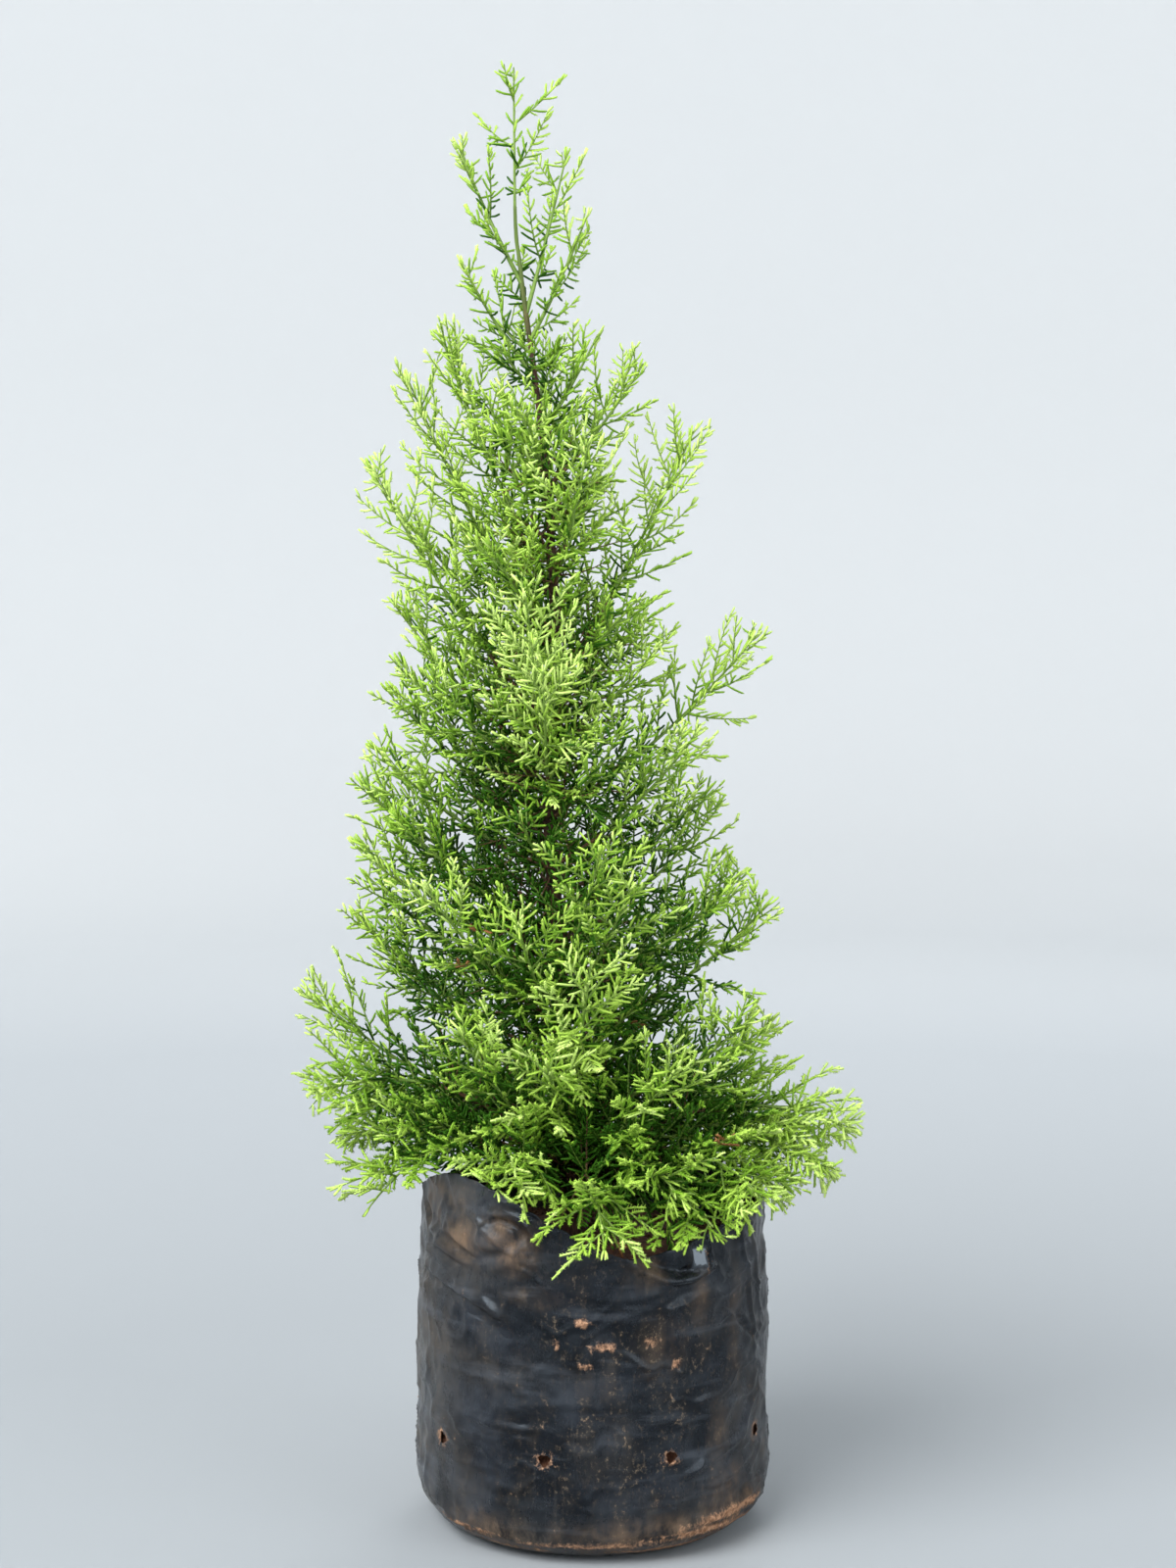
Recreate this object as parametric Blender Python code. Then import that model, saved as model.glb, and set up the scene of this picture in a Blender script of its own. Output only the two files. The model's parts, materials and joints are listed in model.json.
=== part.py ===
# A young lemon cypress in a black nursery bag.
# Metres, +Z up. The origin is the centre of the bag's flat underside. +X is right and +Y is away
# when the plant is seen from its front. Directions round the trunk are in degrees: 0 is right,
# 90 back, 180 left and 270 front.

import math
import random

import bpy
import numpy as np
from mathutils import Vector

MM = 0.001
UP = Vector((0, 0, 1))
# The gap kept between pieces that touch or grow together.
CLEARANCE = 0.35 * MM
SEED = 11

# The bag: a film tube squashed flat at its foot, creased and loose above the soil.
BAG_RADIUS = 82.5 * MM
BAG_FOOT_RADIUS = 59 * MM
BAG_CORNER_HEIGHT = 25 * MM
BAG_NECK_RADIUS = 79.5 * MM
BAG_WALL = 1.5 * MM
BAG_SIDES = 28
BAG_CREASE_DEPTH = 0.9 * MM
RIM_HEIGHT = 150 * MM
# Where the loose rim stands up or sinks: direction, rise, width in degrees.
RIM_SWELLS = ((222, 20 * MM, 36), (283, -13 * MM, 24), (80, 6 * MM, 50))
# How far up the corner, and up the side above it, the rings of the bag lie.
CORNER_RINGS = (0.05, 0.22, 0.55, 1.0)
SIDE_RINGS = (0.25, 0.5, 0.76, 1.0)
DRAIN_HOLES = 9
DRAIN_HOLE_RADIUS = 2.7 * MM
DRAIN_HOLE_SIDES = 6
DRAIN_HOLE_HEIGHT = 49 * MM
DRAIN_HOLE_TURN = 255

# The soil fills the bag to just under the rim.
SOIL_TOP = 131 * MM
SOIL_EDGE_DROP = 4 * MM
SOIL_LUMPS = 1.5 * MM
SOIL_SPOT_RADIUS = 14 * MM

# The trunk: heights of its axis, and how far it is to the right there, from soil to leader.
TRUNK_AXIS = (
    (131 * MM, -9 * MM),
    (200 * MM, -12 * MM),
    (270 * MM, -16 * MM),
    (330 * MM, -20 * MM),
    (392 * MM, -16 * MM),
    (476 * MM, -20.5 * MM),
    (524 * MM, -25.5 * MM),
    (588 * MM, -34 * MM),
    (612 * MM, -36 * MM),
)
TRUNK_LEAN_BACK = 8 * MM
TRUNK_FOOT_RADIUS = 4.6 * MM
TRUNK_TIP_RADIUS = 0.8 * MM
TRUNK_TAPER_POWER = 1.15
TRUNK_SIDES = 8
TRUNK_STEPS = 3
ROOT_FLARE = 3.0 * MM
ROOT_FLARE_HEIGHT = 7 * MM
ROOT_LOBES = 3
ROOT_LOBE_DEPTH = 1.0 * MM
FLARE_RINGS = (0, 0.45, 1.2, 2.2)
LEADER_TIP = Vector((-36.5, 9, 677)) * MM

# Plumes: each is one side shoot of the trunk with all its foliage. Name, height of its foot
# on the trunk, direction, reach, height of its tip; millimetres and degrees.
CLIMBING_PLUMES = (
    ("crown_left", 576, 176, 30, 641),
    ("crown_right", 562, 20, 20, 637),
    ("crown_right_low", 550, 342, 28, 606),
    ("shoulder_left", 533, 185, 34, 585),
    ("shoulder_right", 508, 340, 28, 552),
    ("upper_right", 482, 8, 46, 541),
    ("upper_back", 455, 95, 54, 530),
    ("upper_left_front", 447, 222, 40, 522),
    ("upper_front", 436, 290, 48, 500),
    ("upper_left_inner", 428, 176, 54, 554),
    ("upper_left", 398, 160, 77, 537),
    ("high_right", 392, 12, 66, 511),
    ("upper_left_low", 368, 194, 88, 491),
    ("middle_right", 364, 345, 54, 412),
    ("middle_back", 356, 80, 70, 440),
    ("front_column", 342, 262, 58, 412),
    ("middle_left", 330, 172, 72, 402),
    ("right_arm", 330, 8, 99, 414),
    ("right_low_arm", 305, 335, 74, 369),
    ("lower_left", 272, 176, 94, 346),
    ("lower_right", 268, 18, 80, 331),
    ("lower_back", 262, 100, 88, 345),
    ("lower_front", 240, 293, 80, 303),
    ("lower_left_front", 230, 228, 90, 302),
    ("base_right", 222, 358, 97, 289),
    ("base_left", 214, 172, 102, 283),
    ("base_back_right", 205, 55, 100, 280),
    ("base_right_front", 190, 328, 100, 243),
    ("base_front", 197, 277, 92, 272),
    ("base_back_left", 184, 128, 108, 250),
    ("far_left", 180, 184, 124, 250),
    ("base_front_right", 173, 302, 92, 224),
    ("base_left_front", 169, 238, 92, 240),
    ("steep_right", 168, 14, 100, 229),
)
# The lowest ones arch over the bag's rim; the last number is the height of the arch.
SKIRT_PLUMES = (
    ("skirt_back_right", 158, 62, 112, 190, 19),
    ("skirt_far_left", 160, 198, 124, 204, 22),
    ("skirt_far_right", 156, 350, 133, 184, 23),
    ("skirt_back", 150, 112, 112, 178, 19),
    ("skirt_left", 146, 214, 114, 152, 34),
    ("skirt_front_left", 156, 250, 98, 168, 18),
    ("skirt_right", 146, 322, 112, 160, 26),
    ("skirt_front_right", 159, 301, 98, 164, 16),
    ("skirt_front", 140, 278, 106, 147, 26),
)
# The middle of a climbing plume's stem hangs this share of its reach under the straight line.
CLIMB_SAG = 0.09

# A long plume starts with a bare bough, and any other with its leafy stem.
BOUGH_REACH = 102 * MM
BOUGH_SHARE = 0.30
BOUGH_RADIUS = 2.1 * MM
BOUGH_END_RADIUS = 1.3 * MM
BOUGH_SIDES = 5
BOUGH_PIECES = 3
STEM_RADIUS = 1.15 * MM
STEM_TIP_RADIUS = 0.55 * MM
STEM_SIDES = 3
STEM_PIECES = 5

# Sprays: toothed blades that stand out all round a stem, each for a twig with its shoots.
SPRAY_SPACING = 15.4 * MM
LOW_SPRAY_SPACING = 13.8 * MM
LOW_FOOT = 210 * MM
FEWEST_SPRAYS = 5
SPRAY_LENGTH = 17 * MM
SPRAY_LENGTH_SHARE = 0.22
SPRAY_THICKNESS = 1.3 * MM
SPRAY_NECK = 1.6 * MM
SPRAY_CURL = 0.12
# A spray leans out from its stem by this angle low down and by the second at the stem's tip.
SPRAY_LEAN = (58, 28)
SPRAY_LIFT = 0.22
SPRAY_SWING = 35
TEETH = 3
TOOTH_SHARE = 0.5
TEETH_END = 0.84
TOOTH_FORWARD = 0.62
TOOTH_OUTWARD = 0.78
GOLDEN_ANGLE = 137.5
# A spray that would leave its plume's space is tried shorter, and turned round the stem.
SPRAY_SIZES = (1.3, 1.15, 1.0, 0.85, 0.7, 0.58)
SPRAY_TURNS = (0, 35, -35, 70, -70)

# How far foliage stays from its neighbours.
SPACE_MARGIN = 0.8 * MM
TRUNK_MARGIN = 1.8 * MM
BOUGH_MARGIN = 1.0 * MM
SOIL_MARGIN = 5 * MM
RIM_MARGIN = 4 * MM
REACH_MARGIN = 4 * MM
STEM_SAMPLES = 24

BARK_COLOUR = (0.13, 0.055, 0.03, 1)
NEEDLE_COLOUR = (0.19, 0.42, 0.04, 1)
FILM_COLOUR = (0.022, 0.022, 0.024, 1)
EARTH_COLOUR = (0.16, 0.07, 0.035, 1)


def clear_scene():
    for obj in list(bpy.data.objects):
        bpy.data.objects.remove(obj)


def plain_material(name, colour, roughness):
    material = bpy.data.materials.new(name)
    material.use_nodes = True
    shader = material.node_tree.nodes["Principled BSDF"]
    shader.inputs["Base Color"].default_value = colour
    shader.inputs["Roughness"].default_value = roughness
    shader.inputs["Metallic"].default_value = 0
    return material


def add_object(name, points, faces, material, collection=None):
    mesh = bpy.data.meshes.new(name)
    mesh.from_pydata(points, [], faces)
    mesh.materials.append(material)
    mesh.validate()
    obj = bpy.data.objects.new(name, mesh)
    (collection or bpy.context.scene.collection).objects.link(obj)
    return obj


def new_collection(name):
    collection = bpy.data.collections.new(name)
    bpy.context.scene.collection.children.link(collection)
    return collection


def round_shading(obj, sharp_degrees=55):
    obj.data.shade_smooth()
    obj.data.set_sharp_from_angle(angle=math.radians(sharp_degrees))


def apply_boolean(obj, collection, operation, solver):
    """One Boolean of the object with all of the collection, applied; the collection then goes."""
    boolean = obj.modifiers.new("join", "BOOLEAN")
    boolean.operation = operation
    boolean.operand_type = "COLLECTION"
    boolean.collection = collection
    boolean.solver = solver
    bpy.context.view_layer.update()
    graph = bpy.context.evaluated_depsgraph_get()
    result = bpy.data.meshes.new_from_object(obj.evaluated_get(graph))
    obj.modifiers.remove(boolean)
    obj.data = result
    for member in list(collection.objects):
        bpy.data.objects.remove(member)
    bpy.data.collections.remove(collection)


def direction_of(degrees):
    turn = math.radians(degrees)
    return Vector((math.cos(turn), math.sin(turn), 0))


def degrees_of(point):
    return math.degrees(math.atan2(point.y, point.x))


def ring_faces(first, second, count):
    """Quads between two rings of points, which start at the numbers first and second."""
    return [
        (first + i, first + (i + 1) % count, second + (i + 1) % count, second + i)
        for i in range(count)
    ]


def lathe(rings, low_centre, high_centre):
    """Points and faces of a closed body from rings of points that run up it."""
    count = len(rings[0])
    points = [point for ring in rings for point in ring] + [low_centre, high_centre]
    faces = []
    for i in range(len(rings) - 1):
        faces += ring_faces(i * count, (i + 1) * count, count)
    last, low, high = (len(rings) - 1) * count, len(points) - 2, len(points) - 1
    for i in range(count):
        j = (i + 1) % count
        faces += [(low, j, i), (high, last + i, last + j)]
    return points, faces


def section_axes(along):
    across = along.cross(UP)
    if across.length < CLEARANCE:
        across = along.cross(direction_of(0))
    across.normalize()
    return across, across.cross(along).normalized()


def tube(path, radii, sides, first_face=None):
    """Points and faces of a closed tapering tube. first_face is the way its first end is turned,
    where that end isn't square to the path."""
    points, faces = [], []
    for i, (centre, radius) in enumerate(zip(path, radii)):
        along = (path[min(i + 1, len(path) - 1)] - path[max(i - 1, 0)]).normalized()
        if i == 0 and first_face is not None:
            along = first_face
        across, over = section_axes(along)
        for j in range(sides):
            turn = 2 * math.pi * j / sides
            points.append(centre + radius * (math.cos(turn) * across + math.sin(turn) * over))
    for i in range(len(path) - 1):
        faces += [face[::-1] for face in ring_faces(i * sides, (i + 1) * sides, sides)]
    faces.append(tuple(range(sides)))
    faces.append(tuple(range(len(points) - 1, len(points) - 1 - sides, -1)))
    return points, faces


# Bag


def bell(degrees, centre, width):
    """1 at the centre direction, falling off smoothly over the width."""
    apart = (degrees - centre + 180) % 360 - 180
    return math.exp(-((apart / width) ** 2))


def rim_height(degrees):
    swells = [rise * bell(degrees, centre, width) for centre, rise, width in RIM_SWELLS]
    return RIM_HEIGHT + sum(swells)


def crease(degrees, height):
    """How far the film stands in or out of its round shape; hardly at all near the foot."""
    turn = math.radians(degrees)
    looseness = min(1, height / RIM_HEIGHT) ** 1.5
    wide_fold = math.cos(3 * turn + 0.6)
    slanting_fold = 0.7 * math.cos(5 * turn + 2.1 + 14 * height)
    return BAG_CREASE_DEPTH * looseness * (wide_fold + slanting_fold)


def bag_radius(degrees, height):
    if height < BAG_CORNER_HEIGHT:
        down = 1 - height / BAG_CORNER_HEIGHT
        return BAG_FOOT_RADIUS + (BAG_RADIUS - BAG_FOOT_RADIUS) * math.sqrt(1 - down * down)
    rise = (height - BAG_CORNER_HEIGHT) / (RIM_HEIGHT - BAG_CORNER_HEIGHT)
    return BAG_RADIUS + (BAG_NECK_RADIUS - BAG_RADIUS) * rise * rise + crease(degrees, height)


def bag_point(degrees, height, inset=0.0):
    return direction_of(degrees) * (bag_radius(degrees, height) - inset) + UP * height


def bag_directions():
    return [360 * i / BAG_SIDES for i in range(BAG_SIDES)]


def ring_heights(degrees, lowest):
    """Heights of the rings up one side of the bag: close together round the corner."""
    top = rim_height(degrees)
    corner = [BAG_CORNER_HEIGHT * share for share in CORNER_RINGS]
    side = [BAG_CORNER_HEIGHT + (top - BAG_CORNER_HEIGHT) * share for share in SIDE_RINGS]
    return [lowest] + [height for height in corner + side if height > lowest]


def make_bag(material):
    """The film's outside up to the rim, and its inside down again to the floor."""
    outside = [[bag_point(d, h) for h in ring_heights(d, 0)] for d in bag_directions()]
    inside = [[bag_point(d, h, BAG_WALL) for h in ring_heights(d, BAG_WALL)] for d in bag_directions()]
    rings = list(zip(*outside)) + list(zip(*inside))[::-1]
    points, faces = lathe(rings, Vector(), UP * BAG_WALL)
    bag = add_object("bag", points, faces, material)
    cut_drain_holes(bag)
    round_shading(bag)


def cut_drain_holes(bag):
    """A ring of punched holes near the foot, where the soil shows through the film."""
    cutters = new_collection("drain_hole_cutters")
    for i in range(DRAIN_HOLES):
        outward = direction_of(DRAIN_HOLE_TURN + 360 * i / DRAIN_HOLES)
        centre = outward * BAG_RADIUS + UP * DRAIN_HOLE_HEIGHT
        half = outward * 3 * BAG_WALL
        shape = tube([centre - half, centre + half], [DRAIN_HOLE_RADIUS] * 2, DRAIN_HOLE_SIDES)
        add_object(f"drain_hole_{i}", *shape, bag.data.materials[0], cutters)
    apply_boolean(bag, cutters, "DIFFERENCE", "EXACT")


# Soil


def make_soil(material):
    """Soil moulded to the inside of the bag, a little higher round the trunk than at its edge."""
    foot = trunk_axis(SOIL_TOP)
    inset = BAG_WALL + CLEARANCE
    edge = SOIL_TOP - SOIL_EDGE_DROP
    columns = []
    for d in bag_directions():
        below_edge = [h for h in ring_heights(d, inset) if h < edge]
        wall = bag_point(d, edge, inset)
        spot = foot + direction_of(d) * SOIL_SPOT_RADIUS
        middle = wall.lerp(spot, 0.45) + UP * SOIL_LUMPS * math.sin(math.radians(4 * d))
        columns.append(([bag_point(d, h, inset) for h in below_edge], [wall, middle, spot]))
    shortest = min(len(side) for side, _ in columns)
    rings = list(zip(*[side[:shortest] + top for side, top in columns]))
    add_object("soil", *lathe(rings, UP * inset, foot), material)


# Trunk


def smooth_axis():
    """Heights and sideways places of the trunk's rings: a curve through those of the axis."""
    rings = []
    last = len(TRUNK_AXIS) - 1
    for i in range(last):
        (_, before), (low, start) = TRUNK_AXIS[max(i - 1, 0)], TRUNK_AXIS[i]
        (high, end), (_, after) = TRUNK_AXIS[i + 1], TRUNK_AXIS[min(i + 2, last)]
        for step in range(TRUNK_STEPS):
            t = step / TRUNK_STEPS
            bent = (2 * before - 5 * start + 4 * end - after) * t**2
            bent += (3 * start - before - 3 * end + after) * t**3
            rings.append((low + (high - low) * t, start + ((end - before) * t + bent) / 2))
    return zip(*rings, TRUNK_AXIS[last])


TRUNK_HEIGHTS, TRUNK_PLACES = smooth_axis()
TRUNK_TOP = TRUNK_HEIGHTS[-1]


def trunk_axis(height):
    rise = max(0, (height - SOIL_TOP) / (TRUNK_TOP - SOIL_TOP))
    sideways = float(np.interp(height, TRUNK_HEIGHTS, TRUNK_PLACES))
    return Vector((sideways, TRUNK_LEAN_BACK * rise**2, height))


def trunk_radius(height):
    left = max(0, (TRUNK_TOP - height) / (TRUNK_TOP - SOIL_TOP))
    flare = ROOT_FLARE * math.exp(-(height - SOIL_TOP) / ROOT_FLARE_HEIGHT)
    taper = (TRUNK_FOOT_RADIUS - TRUNK_TIP_RADIUS) * left**TRUNK_TAPER_POWER
    return TRUNK_TIP_RADIUS + taper + flare


def make_trunk(material):
    """One tapering stem, from its flat foot on the soil with a lobed flare, to the leader."""
    foot = SOIL_TOP + CLEARANCE
    heights = [foot + ROOT_FLARE_HEIGHT * share for share in FLARE_RINGS]
    heights += [height for height in TRUNK_HEIGHTS if height > heights[-1] + ROOT_FLARE]
    rings = []
    for height in heights:
        lobe = ROOT_LOBE_DEPTH * math.exp(-(height - foot) / ROOT_FLARE_HEIGHT)
        ring = []
        for i in range(TRUNK_SIDES):
            degrees = 360 * i / TRUNK_SIDES
            dent = lobe * (1 - math.cos(math.radians(ROOT_LOBES * degrees)))
            ring.append(trunk_axis(height) + direction_of(degrees) * (trunk_radius(height) - dent))
        rings.append(ring)
    trunk = add_object("trunk", *lathe(rings, trunk_axis(foot), trunk_axis(TRUNK_TOP)), material)
    round_shading(trunk)


# Plumes


class Plume:
    """One side shoot, or the leader: the line of its stem, and where its foliage starts on it."""

    def __init__(self, number, name, foot, tip, arch, outward=None):
        self.number, self.name = number, name
        self.foot, self.tip, self.outward = foot, tip, outward
        self.bend = (foot + tip) / 2 + UP * 2 * arch
        self.reach = (tip - foot).to_2d().length
        self.has_bough = self.reach >= BOUGH_REACH
        self.start = self.share_clear_of_trunk() if outward else 0.0
        self.foliage_start = BOUGH_SHARE if self.has_bough else self.start
        marks = [self.at(i / STEM_SAMPLES) for i in range(STEM_SAMPLES + 1)]
        self.length = sum((b - a).length for a, b in zip(marks, marks[1:]))

    def at(self, share):
        left = 1 - share
        return left * left * self.foot + 2 * left * share * self.bend + share * share * self.tip

    def along(self, share):
        return ((1 - share) * (self.bend - self.foot) + share * (self.tip - self.bend)).normalized()

    def share_clear_of_trunk(self):
        """Where the stem's line comes out of the bark, plus the clearance."""
        share = 0.0
        step = 0.0005
        while True:
            place = self.at(share)
            apart = (place - trunk_axis(place.z)).to_2d().length
            if apart >= trunk_radius(place.z) + CLEARANCE:
                return share
            share += step

    def stem_share(self, past):
        """The share of the whole line that lies this far along its leafy stretch."""
        return self.foliage_start + (1 - self.foliage_start) * past

    def in_stem(self, past):
        """The middle of the leafy stem as it is built, in straight pieces."""
        first = min(int(past * STEM_PIECES), STEM_PIECES - 1)
        start = self.at(self.stem_share(first / STEM_PIECES))
        end = self.at(self.stem_share((first + 1) / STEM_PIECES))
        return start.lerp(end, past * STEM_PIECES - first)


def all_plumes():
    rows = [(*row, -CLIMB_SAG * row[3]) for row in CLIMBING_PLUMES] + list(SKIRT_PLUMES)
    plumes = []
    for name, foot_height, degrees, reach, tip_height, arch in rows:
        foot = trunk_axis(foot_height * MM)
        tip = foot + direction_of(degrees) * reach * MM
        tip.z = tip_height * MM
        plumes.append(Plume(len(plumes), name, foot, tip, arch * MM, direction_of(degrees)))
    foot = trunk_axis(TRUNK_TOP) + UP * CLEARANCE
    plumes.append(Plume(len(plumes), "leader", foot, LEADER_TIP, 0))
    return plumes


class Spaces:
    """Shares the crown out: a point is in the space of the plume whose stem is nearest."""

    def __init__(self, plumes):
        marks = [(p.at(i / STEM_SAMPLES), p.number) for p in plumes for i in range(STEM_SAMPLES + 1)]
        self.points = np.array([tuple(point) for point, _ in marks])
        self.owners = np.array([number for _, number in marks])

    def owned(self, plume, point):
        apart = np.linalg.norm(self.points - np.array(tuple(point)), axis=1)
        own = apart[self.owners == plume.number].min()
        other = apart[self.owners != plume.number].min()
        return own + SPACE_MARGIN < other

    def free(self, plume, point):
        """In the plume's own space, and clear of everything that isn't foliage."""
        if hits_trunk(point) or hits_bag(point) or past_reach(plume, point):
            return False
        if plume.has_bough and hits_bough(plume, point):
            return False
        return self.owned(plume, point)


def hits_trunk(point):
    if point.z > TRUNK_TOP + TRUNK_MARGIN:
        return False
    apart = (point - trunk_axis(point.z)).to_2d().length
    return apart < trunk_radius(point.z) + TRUNK_MARGIN


def hits_bag(point):
    """On the film, the rim or the soil, or too near them."""
    out = point.to_2d().length
    if out > BAG_RADIUS + RIM_MARGIN or point.z > rim_height(degrees_of(point)) + RIM_MARGIN:
        return False
    return out > BAG_NECK_RADIUS - RIM_MARGIN or point.z < SOIL_TOP + SOIL_MARGIN


def past_reach(plume, point):
    if plume.outward is None:
        return point.z > plume.tip.z
    return (point - plume.foot).dot(plume.outward) > plume.reach + REACH_MARGIN


def hits_bough(plume, point):
    marks = [plume.at(BOUGH_SHARE * i / STEM_SAMPLES) for i in range(STEM_SAMPLES + 1)]
    return min((point - mark).length for mark in marks) < BOUGH_RADIUS + BOUGH_MARGIN


def make_bough(plume, material):
    """The bare start of a long plume, from the bark to where its foliage starts."""
    path, radii = [], []
    for i in range(BOUGH_PIECES + 1):
        past = i / BOUGH_PIECES
        path.append(plume.at(plume.start + (BOUGH_SHARE - plume.start) * past))
        radii.append(BOUGH_RADIUS + (BOUGH_END_RADIUS - BOUGH_RADIUS) * past)
    path[-1] -= plume.along(BOUGH_SHARE) * CLEARANCE
    shape = tube(path, radii, BOUGH_SIDES, plume.outward)
    round_shading(add_object(f"bough_{plume.name}", *shape, material))


# Sprays


def spray_rib(root, along, normal, length, curl):
    """Places along a spray's rib: in the stem, just outside it, then evenly to near its tip."""
    neck = SPRAY_NECK / length
    marks = [0.0] + [neck + (TEETH_END - neck) * i / TEETH for i in range(TEETH + 1)] + [1.0]
    return [root + along * length * mark + normal * curl * length * mark**2 for mark in marks]


def tooth_tips(rib, along, side, normal, length, rng):
    """The tips of each pair of teeth: out to the sides and forward, a little up or down."""
    tips = []
    for i in range(TEETH):
        reach = TOOTH_SHARE * length * (1.0 - 0.22 * abs(i - 0.7))
        middle = rib[i + 1].lerp(rib[i + 2], 0.5)
        for way in (1, -1):
            outward = TOOTH_OUTWARD * way * side + TOOTH_FORWARD * along
            lifted = outward + rng.uniform(-0.25, 0.25) * normal
            tips.append(middle + reach * rng.uniform(0.88, 1.08) * lifted)
    return tips


def spray_shape(rib, tips, side, normal):
    """A three-sided rib, pointed at both ends, with a pair of flat spikes on each middle piece."""
    points, faces = [rib[0]], [(0, 2, 1), (0, 1, 3), (0, 3, 2)]
    for i, centre in enumerate(rib[1:-1]):
        half = SPRAY_THICKNESS * (0.5 - 0.15 * i / TEETH)
        low = centre - normal * half * 0.6
        points += [low + side * half, low - side * half, centre + normal * half]
    for i in range(TEETH):
        a, b = 1 + 3 * i, 4 + 3 * i
        faces.append((a + 1, b + 1, b, a))
        flanks = ((a, b, b + 2, a + 2), (a + 2, b + 2, b + 1, a + 1))
        for corners, tip in zip(flanks, tips[2 * i : 2 * i + 2]):
            faces += [(corners[k], corners[(k + 1) % 4], len(points)) for k in range(4)]
            points.append(tip)
    last = 1 + 3 * TEETH
    faces += [(last + k, last + (k + 1) % 3, len(points)) for k in range(3)]
    points.append(rib[-1])
    return points, faces


def grow_spray(plume, spaces, past, turn, size, state):
    """The spray at this place on the stem, or None where it would leave the plume's space."""
    rng = random.Random(state)
    along_stem = plume.along(plume.stem_share(past))
    across, over = section_axes(along_stem)
    radial = math.cos(math.radians(turn)) * across + math.sin(math.radians(turn)) * over
    low_lean, high_lean = SPRAY_LEAN
    lean = math.radians(low_lean + (high_lean - low_lean) * past + rng.uniform(-6, 6))
    along = (math.cos(lean) * along_stem + math.sin(lean) * radial + SPRAY_LIFT * UP).normalized()
    flat = along.cross(UP.lerp(radial, 0.5)).normalized()
    swing = math.radians(rng.uniform(-SPRAY_SWING, SPRAY_SWING))
    side = math.cos(swing) * flat + math.sin(swing) * flat.cross(along)
    normal = side.cross(along)
    fullness = 0.62 + 0.38 * math.sin(math.pi * (0.25 + 0.75 * past))
    length = size * fullness * (SPRAY_LENGTH + SPRAY_LENGTH_SHARE * plume.length) * rng.uniform(0.92, 1.1)
    rib = spray_rib(plume.in_stem(past), along, normal, length, rng.uniform(0, SPRAY_CURL))
    tips = tooth_tips(rib, along, side, normal, length, rng)
    waists = [tip.lerp(rib[1 + i // 2], 0.5) for i, tip in enumerate(tips)]
    if all(spaces.free(plume, point) for point in rib[2:] + waists + tips):
        return spray_shape(rib, tips, side, normal)
    return None


def make_foliage(plume, spaces, material):
    """The plume's leafy stem with its sprays, joined into one solid."""
    path = [plume.in_stem(i / STEM_PIECES) for i in range(STEM_PIECES + 1)]
    thinning = (STEM_TIP_RADIUS - STEM_RADIUS) / STEM_PIECES
    radii = [STEM_RADIUS + thinning * i for i in range(STEM_PIECES + 1)]
    first_face = None if plume.has_bough else plume.outward
    mass = add_object(f"foliage_{plume.name}", *tube(path, radii, STEM_SIDES, first_face), material)
    sprays = new_collection(f"sprays_{plume.name}")
    rng = random.Random(SEED * 1000 + plume.number)
    spacing = LOW_SPRAY_SPACING if plume.foot.z < LOW_FOOT else SPRAY_SPACING
    count = max(FEWEST_SPRAYS, round(plume.length * (1 - plume.foliage_start) / spacing))
    turn = rng.uniform(0, 360)
    for i in range(count):
        past = (i + 0.75) / (count + 0.2)
        turn += GOLDEN_ANGLE
        state = rng.random()
        tries = [(size, offset) for size in SPRAY_SIZES for offset in SPRAY_TURNS]
        grown = (grow_spray(plume, spaces, past, turn + offset, size, state) for size, offset in tries)
        shape = next((found for found in grown if found), None)
        if shape:
            add_object(f"spray_{plume.name}_{i}", *shape, material, sprays)
    apply_boolean(mass, sprays, "UNION", "MANIFOLD")


def main():
    clear_scene()
    bark = plain_material("bark", BARK_COLOUR, 0.8)
    needles = plain_material("needles", NEEDLE_COLOUR, 0.55)
    make_bag(plain_material("film", FILM_COLOUR, 0.35))
    make_soil(plain_material("earth", EARTH_COLOUR, 0.95))
    make_trunk(bark)
    plumes = all_plumes()
    spaces = Spaces(plumes)
    for plume in plumes:
        if plume.has_bough:
            make_bough(plume, bark)
        make_foliage(plume, spaces, needles)


main()
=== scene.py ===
# The looks of a young lemon cypress in a black nursery bag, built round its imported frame.
# Metres, +Z up. +X is right and +Y is away from the viewer. Directions are in degrees: 0 is
# right, 90 back, 180 left and 270 front.

import json
import math
import time

import bpy
import numpy as np
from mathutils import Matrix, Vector, noise

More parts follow.
